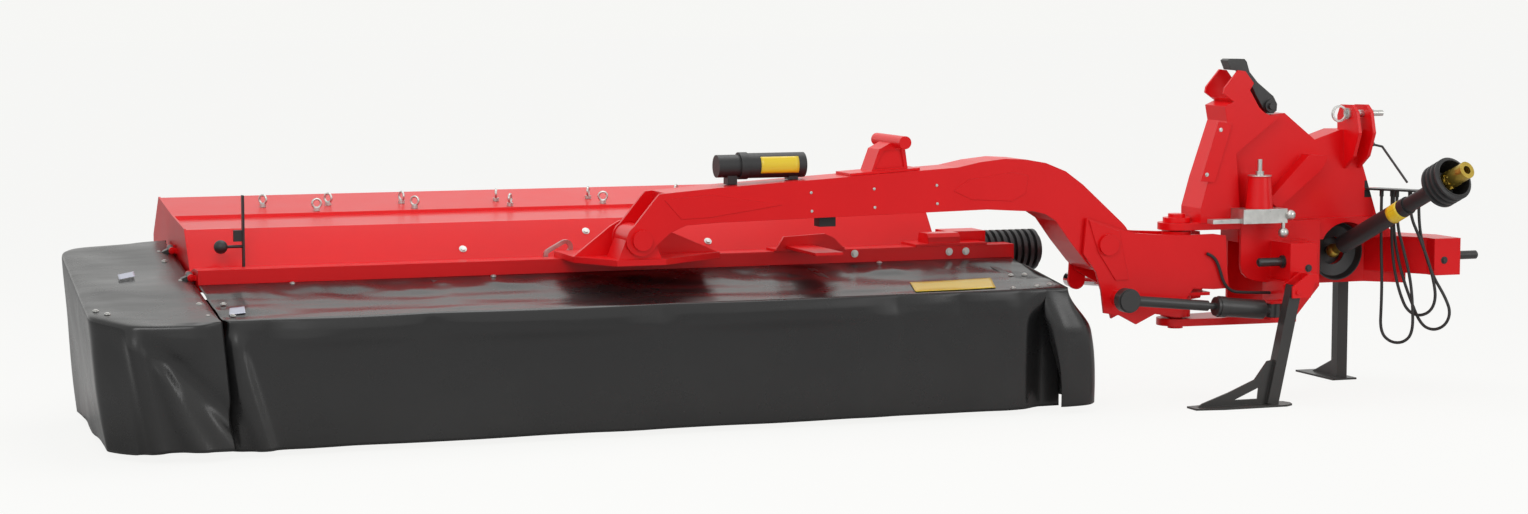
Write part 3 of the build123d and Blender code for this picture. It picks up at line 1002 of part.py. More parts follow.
with BuildPart() as shaft_guard:
    joint_gap = 70.0
    bar(shaft_foot, SHAFT_DIR, joint_gap, 450, GUARD_TUBE_RADIUS)
    bar(shaft_foot, SHAFT_DIR, joint_gap + 400, SHAFT_LENGTH - joint_gap - 611, INNER_TUBE_RADIUS)
    # ribbed cone at the tractor's end
    cone_start = SHAFT_LENGTH - 215
    cone_profile = [(0, INNER_TUBE_RADIUS + 4), (25, CONE_RADIUS - 12)]
    for number in range(4):
        step = 30 + number * 27
        cone_profile += [(step, CONE_RADIUS - 12), (step + 6, CONE_RADIUS), (step + 15, CONE_RADIUS),
                         (step + 21, CONE_RADIUS - 12)]
    cone_profile += [(135, CONE_RADIUS - 12), (135, CONE_RADIUS - 16), (28, CONE_RADIUS - 16),
                     (8, INNER_TUBE_RADIUS - 2), (0, INNER_TUBE_RADIUS - 2)]
    turned_on_shaft(cone_start, cone_profile)
    bar(shaft_foot, SHAFT_DIR, joint_gap - 10, SHAFT_LENGTH, INNER_SHAFT_RADIUS + FIT, Mode.SUBTRACT)
pieces["shaft_guard"] = shaft_guard

with BuildPart() as shaft_yoke:
    # shaft inside the guard, with the ball of its inner joint
    hub_start = SHAFT_LENGTH - 200
    ball = [(-JOINT_BALL * cos(radians(turn)), JOINT_BALL * sin(radians(turn)))
            for turn in range(6, 133, 14)]
    turned_on_shaft(0, [(ball[0][0], 0)] + ball
                    + [(JOINT_BALL * 0.7, INNER_SHAFT_RADIUS), (hub_start, INNER_SHAFT_RADIUS),
                       (hub_start, 34), (hub_start + 46, 34), (hub_start + 46, 0)])
    # splined yoke that the tractor's stub enters
    turned_on_shaft(SHAFT_LENGTH - SPLINE_DEPTH - 12,
                    [(0, 0), (0, YOKE_RADIUS), (SPLINE_DEPTH + 12, YOKE_RADIUS),
                     (SPLINE_DEPTH + 12, SPLINE_RADIUS), (12, SPLINE_RADIUS), (12, 0)])
    # the outer joint: two arms from each yoke, a quarter turn apart, on a cross
    cross_at = SHAFT_LENGTH - 119
    for arm_dir, arm_start in ((shaft_side, SHAFT_LENGTH - 162), (shaft_up, SHAFT_LENGTH - 134)):
        for side in (1, -1):
            foot = [shaft_foot[i] + SHAFT_DIR[i] * arm_start + tuple(arm_dir)[i] * side * 26
                    for i in range(3)]
            with BuildSketch(Plane(origin=at(*foot), x_dir=arm_dir, z_dir=SHAFT_DIR)) as arm:
                Rectangle(13, 40)
            extrude(arm.sketch, amount=58)
        foot = [shaft_foot[i] + SHAFT_DIR[i] * cross_at - tuple(arm_dir)[i] * 38 for i in range(3)]
        with BuildSketch(Plane(origin=at(*foot), z_dir=arm_dir)) as trunnion:
            Circle(12)
        extrude(trunnion.sketch, amount=76)
pieces["shaft_yoke"] = shaft_yoke

# ================================================================ hoses
for hose_name, (aside, route) in hose_loops.items():
    points = [Vector(*hose_point(along, aside, height)) for along, height in route]
    runs = [after - before for before, after in zip(points, points[1:])]
    radii = []
    for run, next_run in zip(runs, runs[1:]):
        half_turn = radians(run.get_angle(next_run) / 2)
        radii.append(0.45 * min(run.length, next_run.length) / tan(half_turn))
    print(hose_name, "bend radii", [round(radius) for radius in radii])
    with BuildPart() as hose:
        with BuildLine() as path:
            FilletPolyline(*points, radius=radii)
        centre = path.wire()
        with BuildSketch(Plane(origin=centre @ 0, z_dir=centre % 0)):
            Circle(HOSE_RADIUS)
        sweep(path=centre)
    tube_volume = pi * HOSE_RADIUS ** 2 * centre.length
    print(hose_name, f"{centre.length:.0f} mm long,",
          f"volume is {hose.part.volume / tube_volume:.4f} of section times length")
    pieces[hose_name] = hose

for name in pieces:
    pieces[name].part.label = name
    export_step(pieces[name].part, f"parts/{name}.step")
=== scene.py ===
# %% [markdown]
# A rear-mounted disc mower conditioner, dressed for a studio picture.
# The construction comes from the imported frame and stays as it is. This file adds what a rigid model
# can't hold: hung tarpaulin guards, painted and plated finishes, bolts, eye nuts, hoses and stickers.
# Every size is in metres. Places are measured from the front left corner of the main guard.

# %% Load the frame
import bpy
import json
from math import cos, hypot, pi, radians, sin
from mathutils import Matrix, Vector, noise


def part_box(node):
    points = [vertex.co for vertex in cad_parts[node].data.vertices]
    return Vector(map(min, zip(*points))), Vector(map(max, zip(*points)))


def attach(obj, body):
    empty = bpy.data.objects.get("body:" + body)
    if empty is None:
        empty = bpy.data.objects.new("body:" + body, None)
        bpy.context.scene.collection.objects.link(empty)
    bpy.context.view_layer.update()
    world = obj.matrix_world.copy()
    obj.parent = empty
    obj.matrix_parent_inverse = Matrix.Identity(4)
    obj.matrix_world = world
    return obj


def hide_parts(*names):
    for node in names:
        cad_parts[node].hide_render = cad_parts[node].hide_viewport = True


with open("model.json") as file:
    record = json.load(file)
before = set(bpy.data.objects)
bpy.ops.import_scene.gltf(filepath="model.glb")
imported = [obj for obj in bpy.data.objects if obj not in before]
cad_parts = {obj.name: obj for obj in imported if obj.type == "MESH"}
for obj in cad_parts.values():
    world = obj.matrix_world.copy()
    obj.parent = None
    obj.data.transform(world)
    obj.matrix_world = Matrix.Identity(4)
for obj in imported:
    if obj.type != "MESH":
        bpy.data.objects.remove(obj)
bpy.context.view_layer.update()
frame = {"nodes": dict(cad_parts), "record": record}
nodes = frame["nodes"]

curtain_low, curtain_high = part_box("front_curtain")
CORNER = Vector((curtain_low.x + 0.040, curtain_low.y, 0.0))


def at(x, y, z):
    """A place measured from the guard's front left corner, in the frame."""
    return CORNER + Vector((x, y, z))


print("frame loaded:", len(nodes), "nodes")

# %% [markdown]
# The camera stands low, in front of the machine's left half, and looks towards the hitch.
# A long lens keeps the three and a half metres of guard nearly straight, as a catalogue picture does.
# An empty target could aim the camera, but a matrix from three directions states the same thing plainly.

# %% Camera
VIEW_TURN, VIEW_DIP = radians(20.0), radians(5.352)
camera_data = bpy.data.cameras.new("camera")
camera_data.sensor_width = 36.0
camera_data.lens = 68.65
camera_data.clip_end = 200.0
camera = bpy.data.objects.new("camera", camera_data)
look = Vector((sin(VIEW_TURN) * cos(VIEW_DIP), cos(VIEW_TURN) * cos(VIEW_DIP), -sin(VIEW_DIP)))
side = look.cross(Vector((0, 0, 1))).normalized()
camera.matrix_world = Matrix.Translation(at(-1.8193, -10.6181, 1.738)) @ Matrix(
    (side, side.cross(look), -look)).transposed().to_4x4()
bpy.context.scene.collection.objects.link(camera)
bpy.context.scene.camera = camera
print("camera lens", camera_data.lens, "mm")

# %% [markdown]
# A product picture wants a pale, even room. The floor and the sky are seen as a warm white.
# The light on the machine is kept at a plain level, so that a colour renders about as it is written.
# Light Path tells the two apart: camera and glossy rays see the sky's white, all others see the
# softer light. The floor shows its white to the camera alone, so glossy cloth mirrors a plain floor.

# %% Studio
STUDIO_WHITE = (0.925, 0.925, 0.908, 1.0)
scene = bpy.context.scene
scene.view_settings.view_transform = "Standard"


def link(tree, start, end):
    """Joins an output to an input."""
    tree.links.new(start, end)


world = bpy.data.worlds.new("studio")
world.use_nodes = True
scene.world = world
tree = world.node_tree
tree.nodes.clear()
out = tree.nodes.new("ShaderNodeOutputWorld")
mix = tree.nodes.new("ShaderNodeMixShader")
path = tree.nodes.new("ShaderNodeLightPath")
lit = tree.nodes.new("ShaderNodeBackground")
lit.inputs["Color"].default_value = (1.0, 1.0, 1.0, 1.0)
lit.inputs["Strength"].default_value = 0.44
seen = tree.nodes.new("ShaderNodeBackground")
seen.inputs["Color"].default_value = STUDIO_WHITE
white_seen = tree.nodes.new("ShaderNodeMath")
white_seen.operation = "MAXIMUM"
link(tree, path.outputs["Is Camera Ray"], white_seen.inputs[0])
link(tree, path.outputs["Is Glossy Ray"], white_seen.inputs[1])
link(tree, white_seen.outputs[0], mix.inputs[0])
link(tree, lit.outputs[0], mix.inputs[1])
link(tree, seen.outputs[0], mix.inputs[2])
link(tree, mix.outputs[0], out.inputs[0])

floor_material = bpy.data.materials.new("studio_floor")
floor_material.use_nodes = True
tree = floor_material.node_tree
tree.nodes.clear()
out = tree.nodes.new("ShaderNodeOutputMaterial")
mix = tree.nodes.new("ShaderNodeMixShader")
seen_mix = tree.nodes.new("ShaderNodeMixShader")
path = tree.nodes.new("ShaderNodeLightPath")
matte = tree.nodes.new("ShaderNodeBsdfDiffuse")
matte.inputs["Color"].default_value = (0.80, 0.80, 0.79, 1.0)
glow = tree.nodes.new("ShaderNodeEmission")
glow.inputs["Color"].default_value = (1.0, 1.0, 0.985, 1.0)
seen_mix.inputs[0].default_value = 0.88
link(tree, matte.outputs[0], seen_mix.inputs[1])
link(tree, glow.outputs[0], seen_mix.inputs[2])
link(tree, path.outputs["Is Camera Ray"], mix.inputs[0])
link(tree, matte.outputs[0], mix.inputs[1])
link(tree, seen_mix.outputs[0], mix.inputs[2])
link(tree, mix.outputs[0], out.inputs[0])

floor_mesh = bpy.data.meshes.new("floor")
floor_mesh.from_pydata([(-60, -40, 0), (60, -40, 0), (60, 80, 0), (-60, 80, 0)], [], [(0, 1, 2, 3)])
floor = bpy.data.objects.new("floor", floor_mesh)
floor.data.materials.append(floor_material)
scene.collection.objects.link(floor)

LAMPS = (  # name, place, aimed at, size, watts
    ("key", (-1.5, -5.0, 4.5), (2.0, 0.4, 0.5), 3.5, 140.0),
    ("fill", (6.5, -4.0, 2.5), (4.3, 0.2, 0.8), 2.5, 48.0),
    ("top", (2.2, 1.5, 5.0), (2.2, 0.5, 0.5), 4.0, 105.0),
)
for name, place, target, size, watts in LAMPS:
    lamp_data = bpy.data.lights.new(name, "AREA")
    lamp_data.size = size
    lamp_data.energy = watts
    lamp = bpy.data.objects.new(name, lamp_data)
    lamp.location = at(*place)
    lamp.rotation_euler = (at(*target) - at(*place)).to_track_quat("-Z", "Y").to_euler()
    scene.collection.objects.link(lamp)
print("lamps:", len(LAMPS))

# %% [markdown]
# Two effects come back in most finishes, so each is one node group with named inputs.
# "fine grain" breaks up a colour and a roughness by a small amount, as dirt and handling do.
# "field dust" is a mask that grows towards the ground, where a mower gathers its dust.

# %% Shader groups


def new_group(name, inputs, outputs):
    """An empty shader node group with float or colour sockets; returns its tree, inputs and outputs."""
    group = bpy.data.node_groups.new(name, "ShaderNodeTree")
    for socket, kind, value in inputs:
        made = group.interface.new_socket(socket, in_out="INPUT", socket_type=kind)
        made.default_value = value
    for socket, kind in outputs:
        group.interface.new_socket(socket, in_out="OUTPUT", socket_type=kind)
    return group, group.nodes.new("NodeGroupInput"), group.nodes.new("NodeGroupOutput")


def math_node(group, operation, first, second, clamp=False):
    """A Math node whose inputs are sockets or plain numbers; returns its output."""
    made = group.nodes.new("ShaderNodeMath")
    made.operation = operation
    made.use_clamp = clamp
    for place, value in enumerate((first, second)):
        if isinstance(value, (int, float)):
            made.inputs[place].default_value = value
        else:
            group.links.new(value, made.inputs[place])
    return made.outputs[0]


grain_group, given, result = new_group(
    "fine grain",
    [("Colour", "NodeSocketColor", (0.5, 0.5, 0.5, 1)), ("Roughness", "NodeSocketFloat", 0.4),
     ("Scale", "NodeSocketFloat", 6.0), ("Colour change", "NodeSocketFloat", 0.1),
     ("Roughness change", "NodeSocketFloat", 0.1)],
    [("Colour", "NodeSocketColor"), ("Roughness", "NodeSocketFloat")])
place = grain_group.nodes.new("ShaderNodeTexCoord")
cloud = grain_group.nodes.new("ShaderNodeTexNoise")
cloud.inputs["Detail"].default_value = 6.0
cloud.inputs["Roughness"].default_value = 0.62
link(grain_group, place.outputs["Object"], cloud.inputs["Vector"])
link(grain_group, given.outputs["Scale"], cloud.inputs["Scale"])
centred = math_node(grain_group, "SUBTRACT", cloud.outputs["Fac"], 0.5)
lighter = math_node(grain_group, "MULTIPLY", centred, given.outputs["Colour change"])
level = math_node(grain_group, "ADD", lighter, 1.0)
tint = grain_group.nodes.new("ShaderNodeVectorMath")
tint.operation = "SCALE"
link(grain_group, given.outputs["Colour"], tint.inputs[0])
link(grain_group, level, tint.inputs["Scale"])
link(grain_group, tint.outputs[0], result.inputs["Colour"])
rougher = math_node(grain_group, "MULTIPLY", centred, given.outputs["Roughness change"])
link(grain_group, math_node(grain_group, "ADD", rougher, given.outputs["Roughness"], True),
     result.inputs["Roughness"])

dust_group, given, result = new_group(
    "field dust",
    [("Colour", "NodeSocketColor", (0.5, 0.5, 0.5, 1)), ("Roughness", "NodeSocketFloat", 0.4),
     ("Amount", "NodeSocketFloat", 0.1), ("Height", "NodeSocketFloat", 0.5)],
    [("Colour", "NodeSocketColor"), ("Roughness", "NodeSocketFloat")])
place = dust_group.nodes.new("ShaderNodeTexCoord")
split = dust_group.nodes.new("ShaderNodeSeparateXYZ")
cloud = dust_group.nodes.new("ShaderNodeTexNoise")
cloud.inputs["Scale"].default_value = 9.0
cloud.inputs["Detail"].default_value = 8.0
link(dust_group, place.outputs["Object"], split.inputs[0])
link(dust_group, place.outputs["Object"], cloud.inputs["Vector"])
low = math_node(dust_group, "DIVIDE", split.outputs["Z"], given.outputs["Height"])
low = math_node(dust_group, "SUBTRACT", 1.0, low, True)
mask = math_node(dust_group, "MULTIPLY", low, cloud.outputs["Fac"])
mask = math_node(dust_group, "MULTIPLY", mask, given.outputs["Amount"], True)
blend = dust_group.nodes.new("ShaderNodeMix")
blend.data_type = "RGBA"
blend.inputs["B"].default_value = (0.24, 0.20, 0.15, 1.0)
link(dust_group, mask, blend.inputs["Factor"])
link(dust_group, given.outputs["Colour"], blend.inputs["A"])
link(dust_group, blend.outputs["Result"], result.inputs["Colour"])
link(dust_group, math_node(dust_group, "ADD", given.outputs["Roughness"], mask, True),
     result.inputs["Roughness"])

# %% [markdown]
# A finish is a Principled shader fed by those groups, with its own fine relief.
# Painted and cast pieces also get a Bevel node on the normal: it rounds the sharp edges of flat
# plates in the shading alone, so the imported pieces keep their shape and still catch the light.

# %% Finishes


def finish(name, colour, roughness, metallic=0.0, coat=0.0, grain=(6.0, 0.1, 0.1), dust=(0.08, 0.5),
           relief=(220.0, 0.00015), round_edges=0.0015, coat_roughness=0.08, specular=0.5):
    """A material with grain, dust, relief and softened edges."""
    made = bpy.data.materials.new(name)
    made.use_nodes = True
    tree = made.node_tree
    shader = tree.nodes["Principled BSDF"]
    shader.inputs["Metallic"].default_value = metallic
    shader.inputs["Coat Weight"].default_value = coat
    shader.inputs["Coat Roughness"].default_value = coat_roughness
    shader.inputs["Specular IOR Level"].default_value = specular
    speckle = tree.nodes.new("ShaderNodeGroup")
    speckle.node_tree = grain_group
    speckle.inputs["Colour"].default_value = (*colour, 1.0)
    speckle.inputs["Roughness"].default_value = roughness
    for socket, value in zip(("Scale", "Colour change", "Roughness change"), grain):
        speckle.inputs[socket].default_value = value
    dusty = tree.nodes.new("ShaderNodeGroup")
    dusty.node_tree = dust_group
    dusty.inputs["Amount"].default_value, dusty.inputs["Height"].default_value = dust
    for socket, target in (("Colour", "Base Color"), ("Roughness", "Roughness")):
        link(tree, speckle.outputs[socket], dusty.inputs[socket])
        link(tree, dusty.outputs[socket], shader.inputs[target])
    place = tree.nodes.new("ShaderNodeTexCoord")
    bumps = tree.nodes.new("ShaderNodeTexNoise")
    bumps.inputs["Scale"].default_value = relief[0]
    bumps.inputs["Detail"].default_value = 3.0
    link(tree, place.outputs["Object"], bumps.inputs["Vector"])
    bump = tree.nodes.new("ShaderNodeBump")
    bump.inputs["Distance"].default_value = relief[1]
    link(tree, bumps.outputs["Fac"], bump.inputs["Height"])
    if round_edges:
        soft = tree.nodes.new("ShaderNodeBevel")
        soft.samples = 4
        soft.inputs["Radius"].default_value = round_edges
        link(tree, soft.outputs[0], bump.inputs["Normal"])
    link(tree, bump.outputs[0], shader.inputs["Normal"])
    return made


red_enamel = finish("red_enamel", (0.80, 0.004, 0.007), 0.34, coat=0.12, grain=(5.0, 0.10, 0.12),
                    relief=(160.0, 0.0002), round_edges=0.003, specular=0.28)
black_enamel = finish("black_enamel", (0.022, 0.022, 0.022), 0.42, coat=0.15, grain=(7.0, 0.3, 0.2),
                      relief=(260.0, 0.0003), round_edges=0.0025)
zinc_steel = finish("zinc_steel", (0.56, 0.56, 0.54), 0.34, metallic=0.9, grain=(38.0, 0.5, 0.35),
                    relief=(90.0, 0.0003), round_edges=0.0015)
chrome_rod = finish("chrome_rod", (0.72, 0.72, 0.73), 0.10, metallic=1.0, grain=(20.0, 0.05, 0.05))
black_plastic = finish("black_plastic", (0.018, 0.018, 0.019), 0.46, grain=(12.0, 0.2, 0.15),
                       relief=(900.0, 0.0002), round_edges=0.0015)
yellow_zinc = finish("yellow_zinc", (0.48, 0.34, 0.06), 0.32, metallic=0.85, grain=(30.0, 0.6, 0.3),
                     relief=(120.0, 0.0003), round_edges=0.002)
black_rubber = finish("black_rubber", (0.02, 0.02, 0.02), 0.6, grain=(16.0, 0.3, 0.2),
                      relief=(500.0, 0.0003))

# %% [markdown]
# Two painted pieces have a small part in another finish: the black comb of the hose holder, and the
# plated screw on top of the spring pot. A "box mask" group finds the part by its place, so the
# piece stays whole and keeps one material.

# %% Two-tone finishes
mask_group, given, result = new_group(
    "box mask", [("Low", "NodeSocketVector", (0, 0, 0)), ("High", "NodeSocketVector", (1, 1, 1))],
    [("Mask", "NodeSocketFloat")])
place = mask_group.nodes.new("ShaderNodeTexCoord")
inside = 1.0
for socket, operation in (("Low", "GREATER_THAN"), ("High", "LESS_THAN")):
    sides = [mask_group.nodes.new("ShaderNodeSeparateXYZ") for _ in range(2)]
    link(mask_group, place.outputs["Object"], sides[0].inputs[0])
    link(mask_group, given.outputs[socket], sides[1].inputs[0])
    for axis in "XYZ":
        beyond = math_node(mask_group, operation, sides[0].outputs[axis], sides[1].outputs[axis])
        inside = math_node(mask_group, "MULTIPLY", beyond, inside)
link(mask_group, inside, result.inputs["Mask"])


def two_tone(name, base, low, high, colour, metallic):
    """A copy of a finish with another colour and metal inside one box."""
    made = base.copy()
    made.name = name
    tree = made.node_tree
    shader = tree.nodes["Principled BSDF"]
    mask = tree.nodes.new("ShaderNodeGroup")
    mask.node_tree = mask_group
    mask.inputs["Low"].default_value, mask.inputs["High"].default_value = low, high
    blend = tree.nodes.new("ShaderNodeMix")
    blend.data_type = "RGBA"
    blend.inputs["B"].default_value = (*colour, 1.0)
    link(tree, mask.outputs[0], blend.inputs["Factor"])
    link(tree, shader.inputs["Base Color"].links[0].from_socket, blend.inputs["A"])
    link(tree, blend.outputs["Result"], shader.inputs["Base Color"])
    link(tree, math_node(tree, "MULTIPLY", mask.outputs[0], metallic), shader.inputs["Metallic"])
    return made


comb_enamel = two_tone("comb_enamel", red_enamel, at(4.86, -0.20, 0.828), at(5.06, 0.215, 0.90),
                       (0.02, 0.02, 0.02), 0.0)
pot_enamel = two_tone("pot_enamel", red_enamel, at(4.0, -1.0, 0.938), at(5.0, 1.0, 1.4),
                      (0.56, 0.56, 0.54), 0.9)
print("two-tone finishes: comb_enamel, pot_enamel")

# %% [markdown]
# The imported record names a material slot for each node. Each slot gets one finish, apart from the
# two nodes above, so a shop or a game can swap a finish by its slot.

# %% Finishes on the pieces
BY_NODE = {"headstock_frame": comb_enamel, "spring_pot": pot_enamel}
BY_SLOT = {"red_paint": red_enamel, "black_steel": black_enamel, "bare_steel": zinc_steel,
           "chrome": chrome_rod, "black_plastic": black_plastic, "yellow_yoke": yellow_zinc,
           "rubber": black_rubber, "curtain": black_plastic}
slots = {row["node"]: row["material_slot"] for row in frame["record"]["subparts"]}
for name, node in nodes.items():
    node.data.materials.clear()
    node.data.materials.append(BY_NODE.get(name, BY_SLOT[slots[name]]))
print("finishes:", len(BY_SLOT))

# %% [markdown]
# The guards are coated tarpaulin: cut flat, sewn at the corners and hung over a light tube frame.
# Each one is a grid of places, so the sag, the folds and the taut stretches are plain formulas of the
# place in the cut. A simulation would need many frames to give the same calm folds, and could stretch
# the cut. Rows near a fold are evened out against their neighbours, which gives the fold its radius.

# %% Cloth helpers
HEM_Z, FOLD_Z = curtain_low.z, 0.513
GUARD_DEPTH = curtain_high.y - curtain_low.y
GUARD_SLOPE = (curtain_high.z - FOLD_Z) / GUARD_DEPTH
TARPAULIN = 0.0018


def ease(value, low, high):
    """0 below low, 1 above high, and smooth between."""
    share = min(1.0, max(0.0, (value - low) / (high - low)))
    return share * share * (3.0 - 2.0 * share)


def ridge(value, width):
    """A soft ridge: 1 at zero, fading to 0 at about twice the width."""
    return 1.0 / (1.0 + (value / width) ** 4)


def soften(rows, first, last, passes):
    """Evens rows first to last against the rows beside them."""
    for _ in range(passes):
        before = [list(row) for row in rows]
        for number in range(max(1, first), min(last, len(rows) - 1)):
            rows[number] = [(under + here * 2 + over) / 4 for under, here, over in
                            zip(before[number - 1], before[number], before[number + 1])]


def cloth(name, sheets, material):
    """One cloth from several grids of places, with its thickness added inwards."""
    made = bpy.data.meshes.new(name)
    places, faces = [], []
    for rows in sheets:
        start, across = len(places), len(rows[0])
        places += [tuple(place) for row in rows for place in row]
        faces += [(start + row * across + number, start + row * across + number + 1,
                   start + (row + 1) * across + number + 1, start + (row + 1) * across + number)
                  for row in range(len(rows) - 1) for number in range(across - 1)]
    made.from_pydata(places, [], faces)
    made.materials.append(material)
    made.shade_smooth()
    piece = bpy.data.objects.new(name, made)
    scene.collection.objects.link(piece)
    area = sum(face.area for face in made.polygons)
    wall = piece.modifiers.new("wall", "SOLIDIFY")
    wall.thickness, wall.offset = TARPAULIN, -1.0
    print(name, "cut area", round(area, 3), "m2")
    return piece


# %% [markdown]
# The tarpaulin's coat is glossy where it is pulled tight and duller where it has been rubbed.
# A stretched noise gives the long faint creases, a finer one the slight orange-peel of the coat.

# %% Tarpaulin
tarpaulin = finish("tarpaulin", (0.0125, 0.0125, 0.013), 0.27, coat=0.16, grain=(2.6, 0.30, 0.16),
                   dust=(0.03, 0.35), relief=(7.0, 0.0060), round_edges=0, coat_roughness=0.16,
                   specular=0.42)
tree = tarpaulin.node_tree
crease_noise = next(node for node in tree.nodes if node.type == "TEX_NOISE")
stretch = tree.nodes.new("ShaderNodeMapping")
stretch.inputs["Scale"].default_value = (0.45, 1.0, 0.8)
crease_noise.inputs["Detail"].default_value = 2.5
crease_noise.inputs["Roughness"].default_value = 0.35
place_node = next(node for node in tree.nodes if node.type == "TEX_COORD")
link(tree, place_node.outputs["Object"], stretch.inputs[0])
link(tree, stretch.outputs[0], crease_noise.inputs["Vector"])
peel = tree.nodes.new("ShaderNodeTexNoise")
peel.inputs["Scale"].default_value = 420.0
link(tree, place_node.outputs["Object"], peel.inputs["Vector"])
peel_bump = tree.nodes.new("ShaderNodeBump")
peel_bump.inputs["Distance"].default_value = 0.00012
crease_bump = next(node for node in tree.nodes if node.type == "BUMP")
link(tree, peel.outputs["Fac"], peel_bump.inputs["Height"])
link(tree, crease_bump.outputs[0], peel_bump.inputs["Normal"])
link(tree, peel_bump.outputs[0], tree.nodes["Principled BSDF"].inputs["Normal"])

# %% [markdown]
# The main guard is one cut: its front hangs from the fold, and its top lies on the tube frame.
# It is clipped up at a few places, so the front sags in shallow lobes between these cusps.
# At the left it turns round the corner in one deep soft fold, and at the right it turns back behind
# the side flap, which stands out and catches the light.

# %% Main guard
GUARD_LEFT, GUARD_RIGHT = curtain_low.x - CORNER.x, curtain_high.x - CORNER.x
CUSPS = (GUARD_LEFT, 0.11, 0.72, 1.64, 2.61, 2.88, 3.14, 3.27, GUARD_RIGHT)
STRUT_PITCH = (3.350 - 0.210) / 4
FLAP_EDGE_X = 3.262             # the side flap's free front edge, at the fold
FLAP_TURN = 0.36                # the share of the flap's width that lies across the front
FLAP_REACH = 3.520              # how far out the bulge may stand, in front


def lobe(x):
    """0 at a cusp, 1 half way between two, with the size of the gap."""
    for left, right in zip(CUSPS, CUSPS[1:]):
        if x <= right:
            swing = max(0.0, sin(pi * (x - left) / (right - left)))
            return swing ** 0.8 * min(1.0, (right - left) / 0.6)
    return 0.0


def front_place(x, height):
    """Where the hanging front lies at x and a height above the ground."""
    below = FOLD_Z - height
    hang = ease(below, 0.0, 0.16)
    out = 0.021 * lobe(x) * ridge(below - 0.058, 0.046)
    out += 0.011 * noise.noise(Vector((x * 1.7, height * 2.6, 4.0))) * hang
    out += 0.004 * noise.noise(Vector((x * 6.0, height * 3.0, 9.0))) * hang
    for top_x, low_x, width, rise in ((-0.052, 0.085, 0.036, 0.030), (0.20, 0.30, 0.09, 0.007),
                                      (1.61, 1.48, 0.10, 0.008), (2.58, 2.52, 0.06, 0.006),
                                      (3.13, 3.10, 0.05, 0.007)):
        line = top_x + (low_x - top_x) * below / 0.48
        out += rise * ridge(x - line, width) * ease(below, 0.0, 0.10)
    corner = ease(GUARD_LEFT + 0.075 - x, 0.0, 0.075)
    back = 0.040 * corner ** 2 * ease(below, 0.0, 0.10)
    back += 0.045 * ease(x, 3.16, 3.26) * ease(below, 0.02, 0.16)
    slant = -0.018 * corner * ease(below, 0.0, 0.1)
    pulled = -0.012 * ease(x, 3.28, GUARD_RIGHT) * ease(below, 0.05, 0.3)
    hem = 0.004 * noise.noise(Vector((x * 2.1, 3.0, 1.0))) * ease(below, 0.3, 0.48)
    return at(x + slant + pulled, back - out, height + hem)


def top_place(x, depth):
    """Where the top lies: taut over the struts, with a slight sag between them."""
    bay = abs(((x - 0.075) / STRUT_PITCH) % 1.0 - 0.5) * 2.0
    sag = 0.007 * (1.0 - bay ** 3) * sin(pi * min(1.0, depth / GUARD_DEPTH))
    crease = 0.006 * noise.noise(Vector((x * 2.6, depth * 9.0, 2.0)))
    crease += 0.009 * noise.noise(Vector((x * 7.0, depth * 6.0, 6.0))) * ease(depth, 0.24, 0.42)
    crease += 0.004 * noise.noise(Vector((x * 15.0, depth * 12.0, 8.0))) * ease(depth, 0.30, 0.45)
    crease *= min(1.0, depth / 0.08) * min(1.0, (GUARD_DEPTH - depth) / 0.05)
    shift = 0.018 * (1.0 - ease(x, GUARD_LEFT, GUARD_LEFT + 0.06))
    return at(x - shift, depth, FOLD_Z + GUARD_SLOPE * depth - sag + crease - 0.001)


ACROSS = 300
columns = [GUARD_LEFT + (GUARD_RIGHT - GUARD_LEFT) * n / ACROSS for n in range(ACROSS + 1)]
heights = [HEM_Z + (FOLD_Z - HEM_Z) * (1 - (1 - n / 52) ** 1.25) for n in range(53)]
depths = [GUARD_DEPTH * (n / 44) ** 1.25 for n in range(1, 45)]
guard_rows = [[front_place(x, height) for x in columns] for height in heights]
guard_rows += [[top_place(x, depth) for x in columns] for depth in depths]
soften(guard_rows, 46, 59, 5)

# the side flap: from its free front edge round and back along the inner end
flap_path = [(FLAP_EDGE_X, 0.004), (3.276, -0.030), (3.330, -0.040), (3.420, -0.024), (3.462, 0.020),
             (3.440, 0.085), (3.394, 0.125), (3.390, 0.240), (3.378, 0.360), (3.366, 0.430)]


def along(path, share):
    """A place at a share of a route's length, rounded by easing between neighbours."""
    lengths = [hypot(b[0] - a[0], b[1] - a[1]) for a, b in zip(path, path[1:])]
    left = share * sum(lengths)
    for number, length in enumerate(lengths):
        if left <= length or number == len(lengths) - 1:
            part = min(1.0, left / length)
            return Vector(path[number]).lerp(Vector(path[number + 1]), part)
        left -= length


